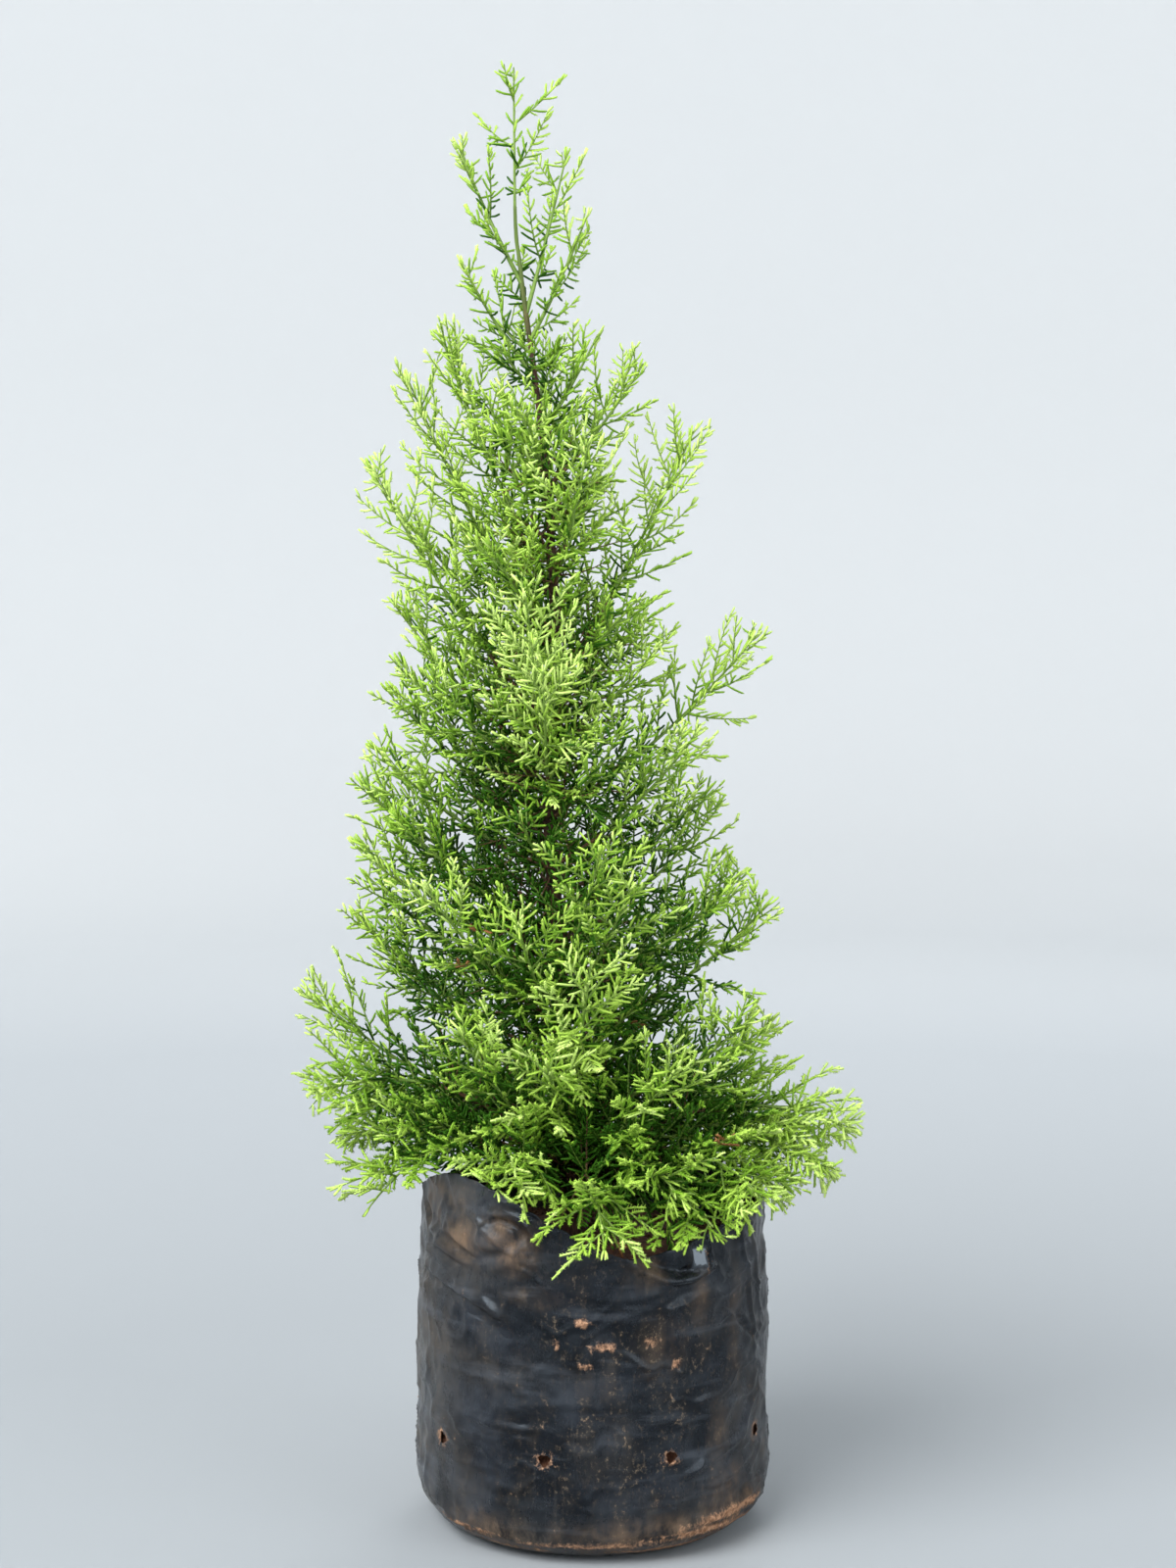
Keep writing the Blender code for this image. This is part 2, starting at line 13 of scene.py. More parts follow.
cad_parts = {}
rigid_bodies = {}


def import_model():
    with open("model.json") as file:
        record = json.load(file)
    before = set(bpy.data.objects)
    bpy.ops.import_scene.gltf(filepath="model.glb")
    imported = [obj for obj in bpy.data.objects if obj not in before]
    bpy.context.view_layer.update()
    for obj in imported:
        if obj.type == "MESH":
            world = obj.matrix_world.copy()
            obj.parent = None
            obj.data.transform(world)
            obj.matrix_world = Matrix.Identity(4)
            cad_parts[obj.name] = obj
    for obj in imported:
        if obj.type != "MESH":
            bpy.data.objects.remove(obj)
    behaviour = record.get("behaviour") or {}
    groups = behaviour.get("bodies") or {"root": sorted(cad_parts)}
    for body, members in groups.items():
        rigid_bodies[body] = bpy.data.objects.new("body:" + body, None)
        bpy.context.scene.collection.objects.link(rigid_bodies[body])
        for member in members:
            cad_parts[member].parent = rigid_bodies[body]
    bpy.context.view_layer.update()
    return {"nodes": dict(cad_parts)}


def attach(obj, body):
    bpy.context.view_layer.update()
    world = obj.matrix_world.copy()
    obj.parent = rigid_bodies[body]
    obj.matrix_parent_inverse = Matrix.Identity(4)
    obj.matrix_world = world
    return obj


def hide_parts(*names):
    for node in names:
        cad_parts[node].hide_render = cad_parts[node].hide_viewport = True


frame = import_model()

mm = 0.001
up = np.array((0.0, 0.0, 1.0))
bodyName = "root"
startedAt = time.time()


def tell(stage):
    print(f"{stage} ({time.time() - startedAt:.0f} s)")


# Sums used all over the script


def directionOf(degrees):
    turn = np.radians(degrees)
    return np.stack((np.cos(turn), np.sin(turn), np.zeros_like(turn)), axis=-1)


def degreesOf(points):
    return np.degrees(np.arctan2(points[:, 1], points[:, 0])) % 360


def unit(vectors):
    return vectors / np.maximum(np.linalg.norm(vectors, axis=-1, keepdims=True), 1e-12)


def squareTo(along, vectors):
    # The directions at right angles to some lines that are nearest to these vectors.
    return unit(vectors - (vectors * along).sum(axis=-1, keepdims=True) * along)


def spokesRound(along, turn):
    # The directions at right angles to some lines, turned round them.
    across = unit(np.cross(along, up) + 1e-6)
    return np.cos(turn)[..., None] * across + np.sin(turn)[..., None] * np.cross(across, along)


def leaning(along, aside, degrees, pull=0):
    # Directions that lean from some lines to their sides by so many degrees, and are then pulled.
    lean = np.radians(degrees)[:, None]
    return unit(np.cos(lean) * along + np.sin(lean) * aside + pull)


def blend(low, high, share):
    return low + (high - low) * share


def smoothStep(values, low, high):
    t = np.clip((values - low) / (high - low), 0, 1)
    return t * t * (3 - 2 * t)


def bell(degrees, centre, width):
    apart = (degrees - centre + 180) % 360 - 180
    return np.exp(-((apart / width) ** 2))


def grain(points, scale, octaves=3):
    return np.array([noise.fractal(Vector(point) * scale, 0.8, 2.1, octaves) for point in points])


def ridges(points, scale):
    return np.array([1 - 2 * abs(noise.noise(Vector(point) * scale)) for point in points])


# Meshes and nodes


def makeObject(name, points, faces, edges=()):
    mesh = bpy.data.meshes.new(name)
    mesh.from_pydata([tuple(point) for point in points], list(edges), faces)
    mesh.validate()
    if faces:
        mesh.shade_smooth()
    thing = bpy.data.objects.new(name, mesh)
    bpy.context.scene.collection.objects.link(thing)
    return thing


def makeCollection(name, shapes):
    # Shapes that stand in no picture: only a tree or a cutter reads them.
    group = bpy.data.collections.new(name)
    bpy.context.scene.collection.children.link(group)
    for number, shape in enumerate(shapes):
        thing = makeObject(f"{name}{number:02d}", *shape)
        bpy.context.scene.collection.objects.unlink(thing)
        group.objects.link(thing)
    return group


def dropCollection(group):
    for thing in list(group.objects):
        bpy.data.objects.remove(thing)
    bpy.data.collections.remove(group)


def lathe(rings, lowCentre, highCentre):
    # A closed body from rings of points that run up its outside, and on round it.
    count = len(rings[0])
    points = np.concatenate([*rings, lowCentre[None], highCentre[None]])
    low, high, last = len(points) - 2, len(points) - 1, (len(rings) - 1) * count
    turns = [(i, (i + 1) % count) for i in range(count)]
    faces = []
    for row in range(0, last, count):
        faces += [(row + i, row + j, row + count + j, row + count + i) for i, j in turns]
    for i, j in turns:
        faces += [(low, j, i), (high, last + i, last + j)]
    return points, faces


def setAttribute(mesh, name, kind, values):
    layer = mesh.attributes.new(name, kind, "POINT")
    field = "vector" if kind == "FLOAT_VECTOR" else "value"
    layer.data.foreach_set(field, np.ascontiguousarray(values).ravel())


def bakeModifier(thing, modifier):
    # Keeps what a modifier makes as a plain mesh.
    bpy.context.view_layer.update()
    graph = bpy.context.evaluated_depsgraph_get()
    baked = bpy.data.meshes.new_from_object(thing.evaluated_get(graph))
    thing.modifiers.remove(modifier)
    thing.data = baked
    baked.name = thing.name


def feed(tree, node, inputs):
    # Each input takes a socket, a node's first output or a plain value.
    for name, value in inputs.items():
        socket = node.inputs[name]
        if isinstance(value, bpy.types.Node):
            value = value.outputs[0]
        if isinstance(value, bpy.types.NodeSocket):
            tree.links.new(value, socket)
        else:
            socket.default_value = (*value, 1) if socket.type == "RGBA" else value


def addNode(tree, kind, inputs=None, **settings):
    node = tree.nodes.new(kind)
    for name, value in settings.items():
        setattr(node, name, value)
    feed(tree, node, inputs or {})
    return node


def startTree(name, sockets):
    tree = bpy.data.node_groups.new(name, "GeometryNodeTree")
    for label, kind in {"Geometry": "Geometry", **sockets, "Material": "Material"}.items():
        tree.interface.new_socket(label, in_out="INPUT", socket_type=f"NodeSocket{kind}")
    tree.interface.new_socket("Geometry", in_out="OUTPUT", socket_type="NodeSocketGeometry")
    return tree, tree.nodes.new("NodeGroupInput").outputs


def endTree(tree, geometry, material):
    realized = addNode(tree, "GeometryNodeRealizeInstances", {"Geometry": geometry})
    painted = addNode(tree, "GeometryNodeSetMaterial", {"Geometry": realized, "Material": material})
    addNode(tree, "NodeGroupOutput", {"Geometry": painted})
    return tree


def growTree(thing, tree, values):
    # Runs a tree on an object once.
    modifier = thing.modifiers.new("grow", "NODES")
    modifier.node_group = tree
    for item in tree.interface.items_tree:
        if item.in_out == "INPUT" and item.name in values:
            modifier[item.identifier] = values[item.name]
    bakeModifier(thing, modifier)


def readAttribute(tree, name, kind):
    node = addNode(tree, "GeometryNodeInputNamedAttribute", {"Name": name}, data_type=kind)
    return next(socket for socket in node.outputs if socket.enabled)


def keepPiece(thing, slot, nodes, material=None):
    if material:
        thing.data.materials.clear()
        thing.data.materials.append(material)
    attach(thing, bodyName)
    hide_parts(*nodes)
    tell(f"{thing.name}: {len(thing.data.polygons)} faces")


# Materials


class Paint:
    # A new material, and the few nodes that every finish here is made of.
    def __init__(self, name):
        self.material = bpy.data.materials.new(name)
        self.material.use_nodes = True
        self.tree = self.material.node_tree
        self.place = addNode(self.tree, "ShaderNodeTexCoord").outputs["Object"]

    def noise(self, scale, detail=3.0, stretch=None, rough=0.6):
        place = self.place
        if stretch:
            place = addNode(self.tree, "ShaderNodeMapping", {"Vector": place, "Scale": stretch})
        given = {"Vector": place, "Scale": scale, "Detail": detail, "Roughness": rough}
        return addNode(self.tree, "ShaderNodeTexNoise", given).outputs["Fac"]

    def ramp(self, factor, *stops):
        # Each stop is a place and a colour, or a place and a number.
        node = addNode(self.tree, "ShaderNodeValToRGB", {"Fac": factor})
        while len(node.color_ramp.elements) < len(stops):
            node.color_ramp.elements.new(0.5)
        for element, (place, colour) in zip(node.color_ramp.elements, stops):
            element.position = place
            element.color = (*colour, 1) if isinstance(colour, tuple) else (colour, colour, colour, 1)
        return node

    def mix(self, factor, first, second):
        given = {0: factor, 6: first, 7: second}
        return addNode(self.tree, "ShaderNodeMix", given, data_type="RGBA").outputs[2]

    def math(self, operation, first, second, clamp=False):
        given = {0: first, 1: second}
        return addNode(self.tree, "ShaderNodeMath", given, operation=operation, use_clamp=clamp)

    def times(self, first, second):
        return self.math("MULTIPLY", first, second)

    def plus(self, first, second, clamp=False):
        return self.math("ADD", first, second, clamp)

    def less(self, first, second):
        return self.math("SUBTRACT", first, second)

    def finish(self, colour, roughness, bump=None, others=None):
        # The bump is a height, a strength and a distance.
        shader = self.tree.nodes["Principled BSDF"]
        feed(self.tree, shader, {"Base Color": colour, "Roughness": roughness, **(others or {})})
        if bump:
            given = dict(zip(("Height", "Strength", "Distance"), bump))
            feed(self.tree, shader, {"Normal": addNode(self.tree, "ShaderNodeBump", given)})
        return self.material


# Partly the plant's own greens and partly painted light and shade, as each spray's tint is dealt out
needleTints = {  # each spray takes one: the darker and the lighter end of its colour
    "deep": ((0.022, 0.085, 0.005), (0.052, 0.150, 0.011)),
    "mid": ((0.180, 0.360, 0.025), (0.285, 0.490, 0.046)),
    "fresh": ((0.360, 0.570, 0.066), (0.475, 0.700, 0.112)),
    "lime": ((0.510, 0.720, 0.148), (0.640, 0.825, 0.240)),
    "olive": ((0.190, 0.210, 0.040), (0.300, 0.300, 0.070)),
    "rust": ((0.210, 0.080, 0.028), (0.360, 0.165, 0.062)),
}

otherColours = {  # from the darkest to the lightest
    "bark": ((0.032, 0.013, 0.007), (0.080, 0.032, 0.017), (0.150, 0.080, 0.048)),
    "barkCracks": (0.020, 0.010, 0.007),
    "youngBark": (0.120, 0.185, 0.036),
    "woodyTwigs": ((0.085, 0.040, 0.020), (0.210, 0.115, 0.055)),
    "greenTwigs": ((0.110, 0.200, 0.030), (0.210, 0.330, 0.050)),
    "earth": ((0.030, 0.014, 0.009), (0.115, 0.048, 0.026), (0.270, 0.120, 0.062)),
}


def needleMaterial(tint):
    paint = Paint(f"{tint}Needles")
    colour = paint.ramp(paint.noise(150, 2.0), *zip((0.35, 0.68), needleTints[tint]))
    roughness = paint.ramp(paint.noise(600, 1.0), (0.3, 0.36), (0.7, 0.54))
    return paint.finish(colour, roughness, None, {"Specular IOR Level": 0.08 if tint == "deep" else 0.20})


def twigMaterial(name):
    paint = Paint(name)
    colour = paint.ramp(paint.noise(260), *zip((0.3, 0.7), otherColours[name]))
    return paint.finish(colour, 0.65, (paint.noise(1400, 2.0), 0.4, 0.2 * mm))


def barkMaterial():
    # Thin reddish bark with grey-brown flakes and dark cracks along the stem, green near the top.
    paint = Paint("cypressBark")
    height = addNode(paint.tree, "ShaderNodeSeparateXYZ", {"Vector": paint.place}).outputs["Z"]
    young = addNode(paint.tree, "ShaderNodeMapRange", {"Value": height, "From Min": 0.545, "From Max": 0.590})
    cracks = paint.noise(700, 4.0, (1, 1, 0.16))
    skin = paint.ramp(paint.noise(160, 3.0, (1, 1, 0.45)), *zip((0.32, 0.52, 0.72), otherColours["bark"]))
    cracked = paint.mix(paint.ramp(cracks, (0.36, 1.0), (0.52, 0.0)), skin, otherColours["barkCracks"])
    colour = paint.mix(young, cracked, otherColours["youngBark"])
    return paint.finish(colour, 0.82, (cracks, 0.7, 0.5 * mm))


def earthMaterial():
    paint = Paint("redEarth")
    colour = paint.ramp(paint.noise(140, 5.0, None, 0.7), *zip((0.30, 0.52, 0.74), otherColours["earth"]))
    return paint.finish(colour, 0.95, (paint.noise(520, 5.0, None, 0.7), 0.8, 1.0 * mm))


filmLook = {
    # How fine each noise is, then its detail, stretch and roughness
    "noises": {
        "cloud": (26, 5.0, None, 0.65), "mottle": (95, 6.0, (1, 1, 0.5), 0.72),
        "speck": (520, 4.0, (1, 1, 0.8), 0.75), "streak": (300, 3.0, (1, 1, 0.07)),
        "smudge": (30, 3.0, (1, 1, 1.7), 0.55), "wave": (55, 1.0, (1, 1, 1.3), 0.4),
        "wipe": (40, 4.0, (0.45, 0.45, 2.8)),
    },
    "black": ((0.36, (0.0020, 0.0022, 0.0028)), (0.66, (0.0060, 0.0070, 0.0100))),
    # Haze colours: partly dust, partly painted sheen
    "haze": ((0.42, (0.105, 0.110, 0.118)), (0.60, (0.120, 0.102, 0.080))),
    "dust": ((0.40, (0.150, 0.112, 0.078)), (0.60, (0.215, 0.140, 0.088))),
    # Coats over the black, the lowest first: the mark on the film that it follows or nothing, the
    # noise that breaks it up, how much that lets through, then its colour or colours
    "coats": (
        ("haze", "mottle", (0.36, 0.25), (0.66, 1.0), "haze"),
        (None, "smudge", (0.50, 0.0), (0.70, 0.30), (0.060, 0.068, 0.082)),
        (None, "mottle", (0.53, 0.0), (0.74, 0.28), (0.084, 0.070, 0.054)),
        # pale bluish bands that run round the film
        (None, "wipe", (0.56, 0.0), (0.70, 0.34), (0.078, 0.087, 0.102)),
        ("dust", "mottle", (0.38, 0.10), (0.60, 1.0), "dust"),
        (None, "streak", (0.62, 0.0), (0.78, 0.14), (0.105, 0.098, 0.088)),
        ("scuff", "mottle", (0.42, 0.0), (0.60, 1.0), (0.165, 0.125, 0.086)),
    ),
    "flecks": ((0.54, 0.0), (0.66, 0.85)),
    "clay": ((0.35, (0.170, 0.078, 0.038)), (0.65, (0.580, 0.330, 0.195))),
    "tint": (0.74, 0.87, 1.0),
}


def filmMaterial():
    # Black film: the marks are painted on its points, and noise breaks them up. The haze mark is partly
    # painted sheen.
    paint = Paint("bagFilm")
    painted = {
        name: addNode(paint.tree, "ShaderNodeAttribute", attribute_name=name).outputs["Fac"]
        for name in ("haze", "dust", "clay", "scuff", "shine")
    }
    noises = {name: paint.noise(*row) for name, row in filmLook["noises"].items()}
    painted["scuff"] = paint.times(painted["scuff"], paint.ramp(noises["speck"], *filmLook["flecks"]))
    colour = paint.ramp(noises["cloud"], *filmLook["black"])
    for mark, name, low, high, coat in filmLook["coats"]:
        cover = paint.ramp(noises[name], low, high)
        if mark:
            cover = paint.times(painted[mark], cover)
        if coat in filmLook:
            coat = paint.ramp(noises["cloud"], *filmLook[coat])
        colour = paint.mix(cover, colour, coat)
    ragged = paint.plus(paint.times(noises["mottle"], 1.7), paint.times(noises["speck"], 2.0))
    caked = paint.ramp(paint.plus(painted["clay"], paint.less(ragged, 1.85)), (0.42, 0.0), (1.0, 0.86))
    colour = paint.mix(caked, colour, paint.ramp(noises["speck"], *filmLook["clay"]))
    gloss = paint.ramp(noises["mottle"], (0.40, 0.25), (0.66, 0.37))
    dusty = paint.plus(gloss, paint.times(painted["dust"], 0.18))
    matt = paint.plus(dusty, paint.times(caked, 0.4), True)
    roughness = paint.times(matt, paint.less(1.0, paint.times(painted["shine"], 0.6)))
    clean = paint.less(1.0, paint.times(painted["dust"], 0.8))
    glint = paint.times(paint.ramp(noises["mottle"], (0.40, 0.32), (0.62, 0.17)), clean)
    specular = paint.plus(glint, paint.times(painted["shine"], 0.7))
    height = paint.plus(paint.times(caked, 0.4), paint.times(noises["wave"], 2.0))
    others = {"Specular IOR Level": specular, "Specular Tint": filmLook["tint"]}
    return paint.finish(colour, roughness, (height, 0.6, 1.0 * mm), others)


# The bag

bag = {
    "radius": 82.5 * mm,
    "footRadius": 59 * mm,
    "cornerHeight": 25 * mm,
    "neckRadius": 79.5 * mm,
    "rimHeight": 150 * mm,
    "rimSwells": ((20 * mm, 222, 36), (-13 * mm, 283, 24), (6 * mm, 80, 50)),  # rise, direction, spread
    "rimFlutter": ((0.9 * mm, 9, 3), (0.35 * mm, 34, 2)),
    "creaseDepth": 0.9 * mm,
    "film": 0.9 * mm,
    "columns": 460,
    "footRows": 5,
    "floorShare": 0.96,
    "cornerRows": 14,
    "sideRows": 112,
    "insideRows": 24,
    "lowInsideRows": 10,
    "looseFrom": 118 * mm,
    "holes": 9,
    "holeRadius": 2.7 * mm,
    "holeHeight": 49 * mm,
    "holeTurn": 255,
    "holeSides": 18,
    "holeDepth": 5 * mm,
    "holeClay": (4.3, 4.0, 0.90),  # half width and half height in millimetres, strength
    "foldGain": 1.6,
    "foldFade": (0.06, 0.88, 0.6),  # how much is left at its ends, what its length adds, power
    "foldSteps": 61,
    "foldNear": (75, 60),  # how far round and up a fold can reach, in millimetres
    "tuckShare": 0.50,
    "openShare": 1.15,
    # Folds: direction and height in millimetres of where each starts, of where it bends to and of
    # where it ends; then its width and how far it stands out, in millimetres
    "folds": {
        "pocket": (
            (204, 143, 230, 119, 251, 142, 3.2, 1.3), (206, 147, 232, 125, 246, 145, 3.0, -1.4),
            (251, 140, 254, 154, 244, 158, 2.6, 1.1), (234, 151, 243, 158, 249, 145, 2.2, -1.3),
            (212, 133, 226, 127, 242, 134, 2.4, -1.2), (216, 150, 222, 137, 236, 135, 1.8, 1.2),
            (226, 156, 238, 146, 246, 138, 1.8, 1.1), (250, 152, 256, 142, 247, 131, 2.0, 1.0),
        ),
        "pinch": ((196, 149, 200, 147, 203, 143, 2.4, -2.2), (200, 141, 205, 132, 208, 124, 2.2, 0.9)),
        "drag": (
            (195, 124, 222, 124, 244, 109, 3.2, 1.5), (196, 119, 222, 118, 242, 103, 2.8, -1.1),
            (199, 134, 216, 130, 229, 118, 2.0, 1.0),
        ),
        "leftStretch": (
            (197, 120, 203, 110, 205, 96, 1.2, 0.7), (202, 119, 208, 110, 213, 94, 1.3, 0.8),
            (208, 116, 214, 108, 221, 97, 1.2, 0.6),
        ),
        "rimTucks": (
            (236, 163, 250, 161, 266, 151, 1.5, 1.2), (240, 168, 254, 165, 268, 156, 1.3, -1.0),
            (232, 157, 246, 156, 258, 149, 1.3, 0.9),
        ),
        "rightScoop": ((280, 138, 296, 120, 310, 130, 2.4, 1.6), (282, 142, 296, 126, 309, 134, 2.4, -1.3)),
        "square": (
            (301, 145, 302, 138, 302, 130, 1.0, 1.2), (309, 145, 310, 138, 311, 131, 1.0, 1.3),
            (303, 131, 307, 129, 311, 131, 1.0, 1.0),
        ),
        "right": (
            (325, 143, 331, 120, 334, 88, 1.6, 0.9), (332, 146, 337, 120, 339, 96, 1.7, 0.8),
            (318, 112, 328, 96, 340, 86, 1.8, -0.7),
        ),
        "middle": ((262, 124, 276, 118, 292, 122, 2.6, 0.6),),
        "seam": ((196, 17, 225, 6, 262, 9, 1.3, 0.9), (262, 9, 300, 6, 342, 19, 1.3, 1.0)),
        "overlap": (
            (286, 15, 314, 12, 345, 30, 1.7, 1.5), (276, 7, 306, 5, 338, 15, 1.5, 1.2),
            (198, 24, 214, 14, 242, 12, 1.5, 1.0), (290, 11, 316, 8, 346, 24, 1.2, -0.7),
        ),
        "sag": ((215, 34, 236, 25, 262, 27, 3.0, 0.6),),
        "level": (
            (218, 66, 240, 60, 264, 63, 2.6, 0.7), (212, 43, 228, 40, 244, 42, 2.2, 0.6),
            (246, 72, 268, 76, 290, 70, 2.6, 0.5), (300, 40, 314, 44, 328, 52, 2.2, 0.8),
            (306, 31, 318, 32, 332, 40, 2.0, 0.7),
        ),
        "back": (
            (60, 138, 84, 118, 108, 140, 2.6, 1.6), (62, 143, 84, 124, 106, 145, 2.4, -1.3),
            (30, 126, 58, 120, 82, 100, 2.6, 1.3), (120, 122, 144, 120, 168, 98, 2.6, 1.3),
            (12, 142, 16, 118, 20, 90, 1.7, 0.9), (160, 138, 166, 118, 172, 96, 1.5, 0.9),
            (20, 16, 90, 4, 160, 17, 1.3, 0.9), (100, 13, 130, 12, 160, 27, 1.5, 0.8),
        ),
    },
    # Where the film is stretched flat and shines: direction, height, half width and half height in
    # millimetres, how far it stands out, then how far it leans down and round
    "shine": (306, 136.5, 4.2, 5.0, 1.2, 0.36, 0.22),
    # Lumps of soil that push the film out: direction, height, spread, how far; millimetres
    "bulges": (
        (238, 146, 11, 2.2), (212, 152, 12, 1.6), (293, 60, 16, 0.7), (232, 62, 18, 0.8), (84, 146, 12, 1.6),
    ),
    "creaseWarp": 12 * mm,
    "loosens": (92 * mm, 145 * mm),  # the heights between which the film gets loose
    "footEnds": (12 * mm, 40 * mm),
    # Soil on the film: direction, height, half width and half height in millimetres, strength
    "clay": (
        (266.5, 110.3, 4.2, 2.2, 1.0), (273.1, 100.3, 5.6, 2.8, 1.0), (258.9, 100.8, 1.6, 2.6, 0.8),
        (268, 91.6, 4.0, 1.8, 0.8), (288.5, 101.3, 4.0, 2.2, 0.6), (296.9, 90.3, 2.6, 2.2, 0.8),
        (322, 17, 24, 2.4, 1.5), (304, 12, 26, 1.8, 1.4), (330, 8, 26, 1.6, 1.2), (296, 5.5, 28, 1.4, 1.15),
        (268, 10, 34, 1.5, 1.05), (222, 11, 30, 1.4, 0.95), (240, 5.5, 34, 1.4, 0.75),
        (309, 134, 2.0, 6, 0.5), (70, 100, 5, 3, 0.9), (96, 88, 4, 2, 0.8), (60, 8, 40, 2.6, 0.6),
        (140, 8, 40, 2.6, 0.65), (30, 120, 7, 4, 0.45),
    ),
    # Brown dust, given the same way
    "dust": (
        (202, 156, 14, 12, 0.75), (224, 142, 16, 11, 0.72), (246, 142, 10, 12, 0.80), (240, 151, 9, 8, 0.85),
        (216, 160, 20, 8, 0.52), (252, 121, 11, 5, 0.50), (287, 131, 9, 7, 0.60), (306, 118, 5, 14, 0.36),
        (292, 98, 13, 14, 0.26), (313, 54, 7, 18, 0.26), (318, 28, 14, 12, 0.36), (268, 84, 12, 8, 0.14),
        (240, 12, 34, 9, 0.74), (290, 13, 44, 9, 0.82), (322, 20, 24, 8, 0.85), (322, 100, 6, 26, 0.22),
        (60, 70, 24, 30, 0.22), (100, 120, 24, 20, 0.42), (150, 60, 20, 30, 0.20), (40, 18, 40, 10, 0.42),
        (120, 14, 44, 8, 0.46), (10, 120, 12, 18, 0.30),
    ),
    # Haze, partly dust and partly painted sheen, and scuffs: how much there is everywhere, how much
    # more by direction and spread, what grain adds, and how much more there is between some heights
    "haze": (0.02, ((190, 26, 0.54), (345, 30, 0.10), (60, 60, 0.25)), (0.28, 30, 4)),
    "topHazeAndSheen": (0.22, (222, 26), (105 * mm, 135 * mm)),
    "footHaze": (0.20, (6 * mm, 34 * mm)),
    "scuff": (0.15, ((262, 22, 0.35), (90, 60, 0.5)), (0.4, 45, 3)),
    "frontScuff": (0.75, (292, 26), (20 * mm, 45 * mm), (108 * mm, 128 * mm)),
    "markFade": 0.80,
    "markEdges": {"clay": 1.30, "dust": 1.05},
}


def bagRadius(degrees, height):
    turn = np.radians(degrees)
    down = 1 - np.clip(height / bag["cornerHeight"], 0, 1)
    corner = bag["footRadius"] + (bag["radius"] - bag["footRadius"]) * np.sqrt(1 - down * down)
    rise = (height - bag["cornerHeight"]) / (bag["rimHeight"] - bag["cornerHeight"])
    looseness = np.clip(height / bag["rimHeight"], 0, 1) ** 1.5
    creases = np.cos(3 * turn + 0.6) + 0.7 * np.cos(5 * turn + 2.1 + 14 * height)
    side = blend(bag["radius"], bag["neckRadius"], rise * rise) + bag["creaseDepth"] * looseness * creases
    return np.where(height < bag["cornerHeight"], corner, side)


def rimHeight(degrees):
    return bag["rimHeight"] + sum(rise * bell(degrees, *where) for rise, *where in bag["rimSwells"])


def onFilm(degrees, height, centre):
    # How far round and up from a place on the film, in millimetres.
    around = np.radians((degrees - centre[0] + 180) % 360 - 180) * bag["radius"] / mm
    return around, height / mm - centre[1]


def foldRelief(degrees, height, fold):
    places, (width, depth) = np.reshape(fold[:6], (3, 2)), fold[6:]
    around, above = onFilm(degrees, height, places[1])
    near = (np.abs(around) < bag["foldNear"][0]) & (np.abs(above) < bag["foldNear"][1])
    t = np.linspace(0, 1, bag["foldSteps"])[:, None]
    start, bend, end = np.stack(onFilm(places[:, 0], places[:, 1] * mm, places[1]), axis=-1)
    path = (1 - t) ** 2 * start + 2 * t * (1 - t) * bend + t * t * end
    spots = np.stack((around[near], above[near]), axis=-1)
    apart = np.linalg.norm(spots[:, None] - path[None], axis=-1)
    closest = apart.argmin(axis=1)
    ends, length, power = bag["foldFade"]
    fade = np.sin(np.pi * (ends + length * t[closest, 0])) ** power
    # Steeper on the side to the right of the path, where the film tucks under
    forward, aside = np.gradient(path, axis=0)[closest], spots - path[closest]
    isTuck = forward[:, 0] * aside[:, 1] < forward[:, 1] * aside[:, 0]
    spread = width * np.where(isTuck, bag["tuckShare"], bag["openShare"])
    relief = np.zeros_like(degrees)
    relief[near] = depth * fade * np.exp(-((apart.min(axis=1) / spread) ** 2))
    return relief


def shineShare(degrees, height):
    # 1 on the flat shining place and 0 off it, then how far it stands out there.
    direction, level, halfWidth, halfHeight, rise, leanDown, leanRound = bag["shine"]
    around, above = onFilm(degrees, height, (direction, level))
    share = 1.0
    for inside in (halfWidth - np.abs(around), halfHeight - np.abs(above)):
        share = share * smoothStep(inside, -0.4, 0.6)
    return share, rise + leanRound * around - leanDown * above


def filmRelief(degrees, height):
    # How far the film stands out of its smooth shape, in metres.
    points = directionOf(degrees) * bag["radius"] + height[:, None] * up
    relief = np.zeros_like(height)
    for fold in (fold for group in bag["folds"].values() for fold in group):
        relief += bag["foldGain"] * foldRelief(degrees, height, fold)
    for direction, level, spread, rise in bag["bulges"]:
        around, above = onFilm(degrees, height, (direction, level))
        relief += rise * np.exp(-(around**2 + above**2) / spread**2)
    loose, foot = smoothStep(height, *bag["loosens"]), 1 - smoothStep(height, *bag["footEnds"])
    relief += blend(0.80, 1.2, loose) * grain(points, 26, 3)
    warps = np.stack([grain(points + shift, 40, 2) for shift in range(3)], axis=-1)
    warped = points + bag["creaseWarp"] * warps
    flat = warped * np.array((0.6, 0.6, 1.5))  # creases that run more round than up
    creases = (  # where, how fine, how high, how much stays level, how sharp
        (flat, 46, blend(1.15, 1.6, loose), 0.15, 3),
        (warped + 5, 95, blend(0.30, 0.60, loose), 0.1, 2),
        (warped + 9, 60, 0.7 * foot, 0.15, 2),
    )
    for spots, scale, rise, level, power in creases:
        relief += rise * np.maximum(ridges(spots, scale), level) ** power
    relief *= smoothStep(height, 0.5 * mm, 9 * mm)
    share, flatRelief = shineShare(degrees, height)
    return blend(relief, flatRelief, share) * mm


def filmRings(degrees, inset, levels):
    # Rings of the film at these heights, one row of heights each, moved in by the inset.
    heights = np.array([np.broadcast_to(level, degrees.shape) for level in levels])
    around = np.broadcast_to(degrees, heights.shape)
    relief = filmRelief(around.ravel(), heights.ravel()).reshape(heights.shape)
    radius = bagRadius(around, heights) + relief - inset
    return list(directionOf(around) * radius[..., None] + heights[..., None] * up)


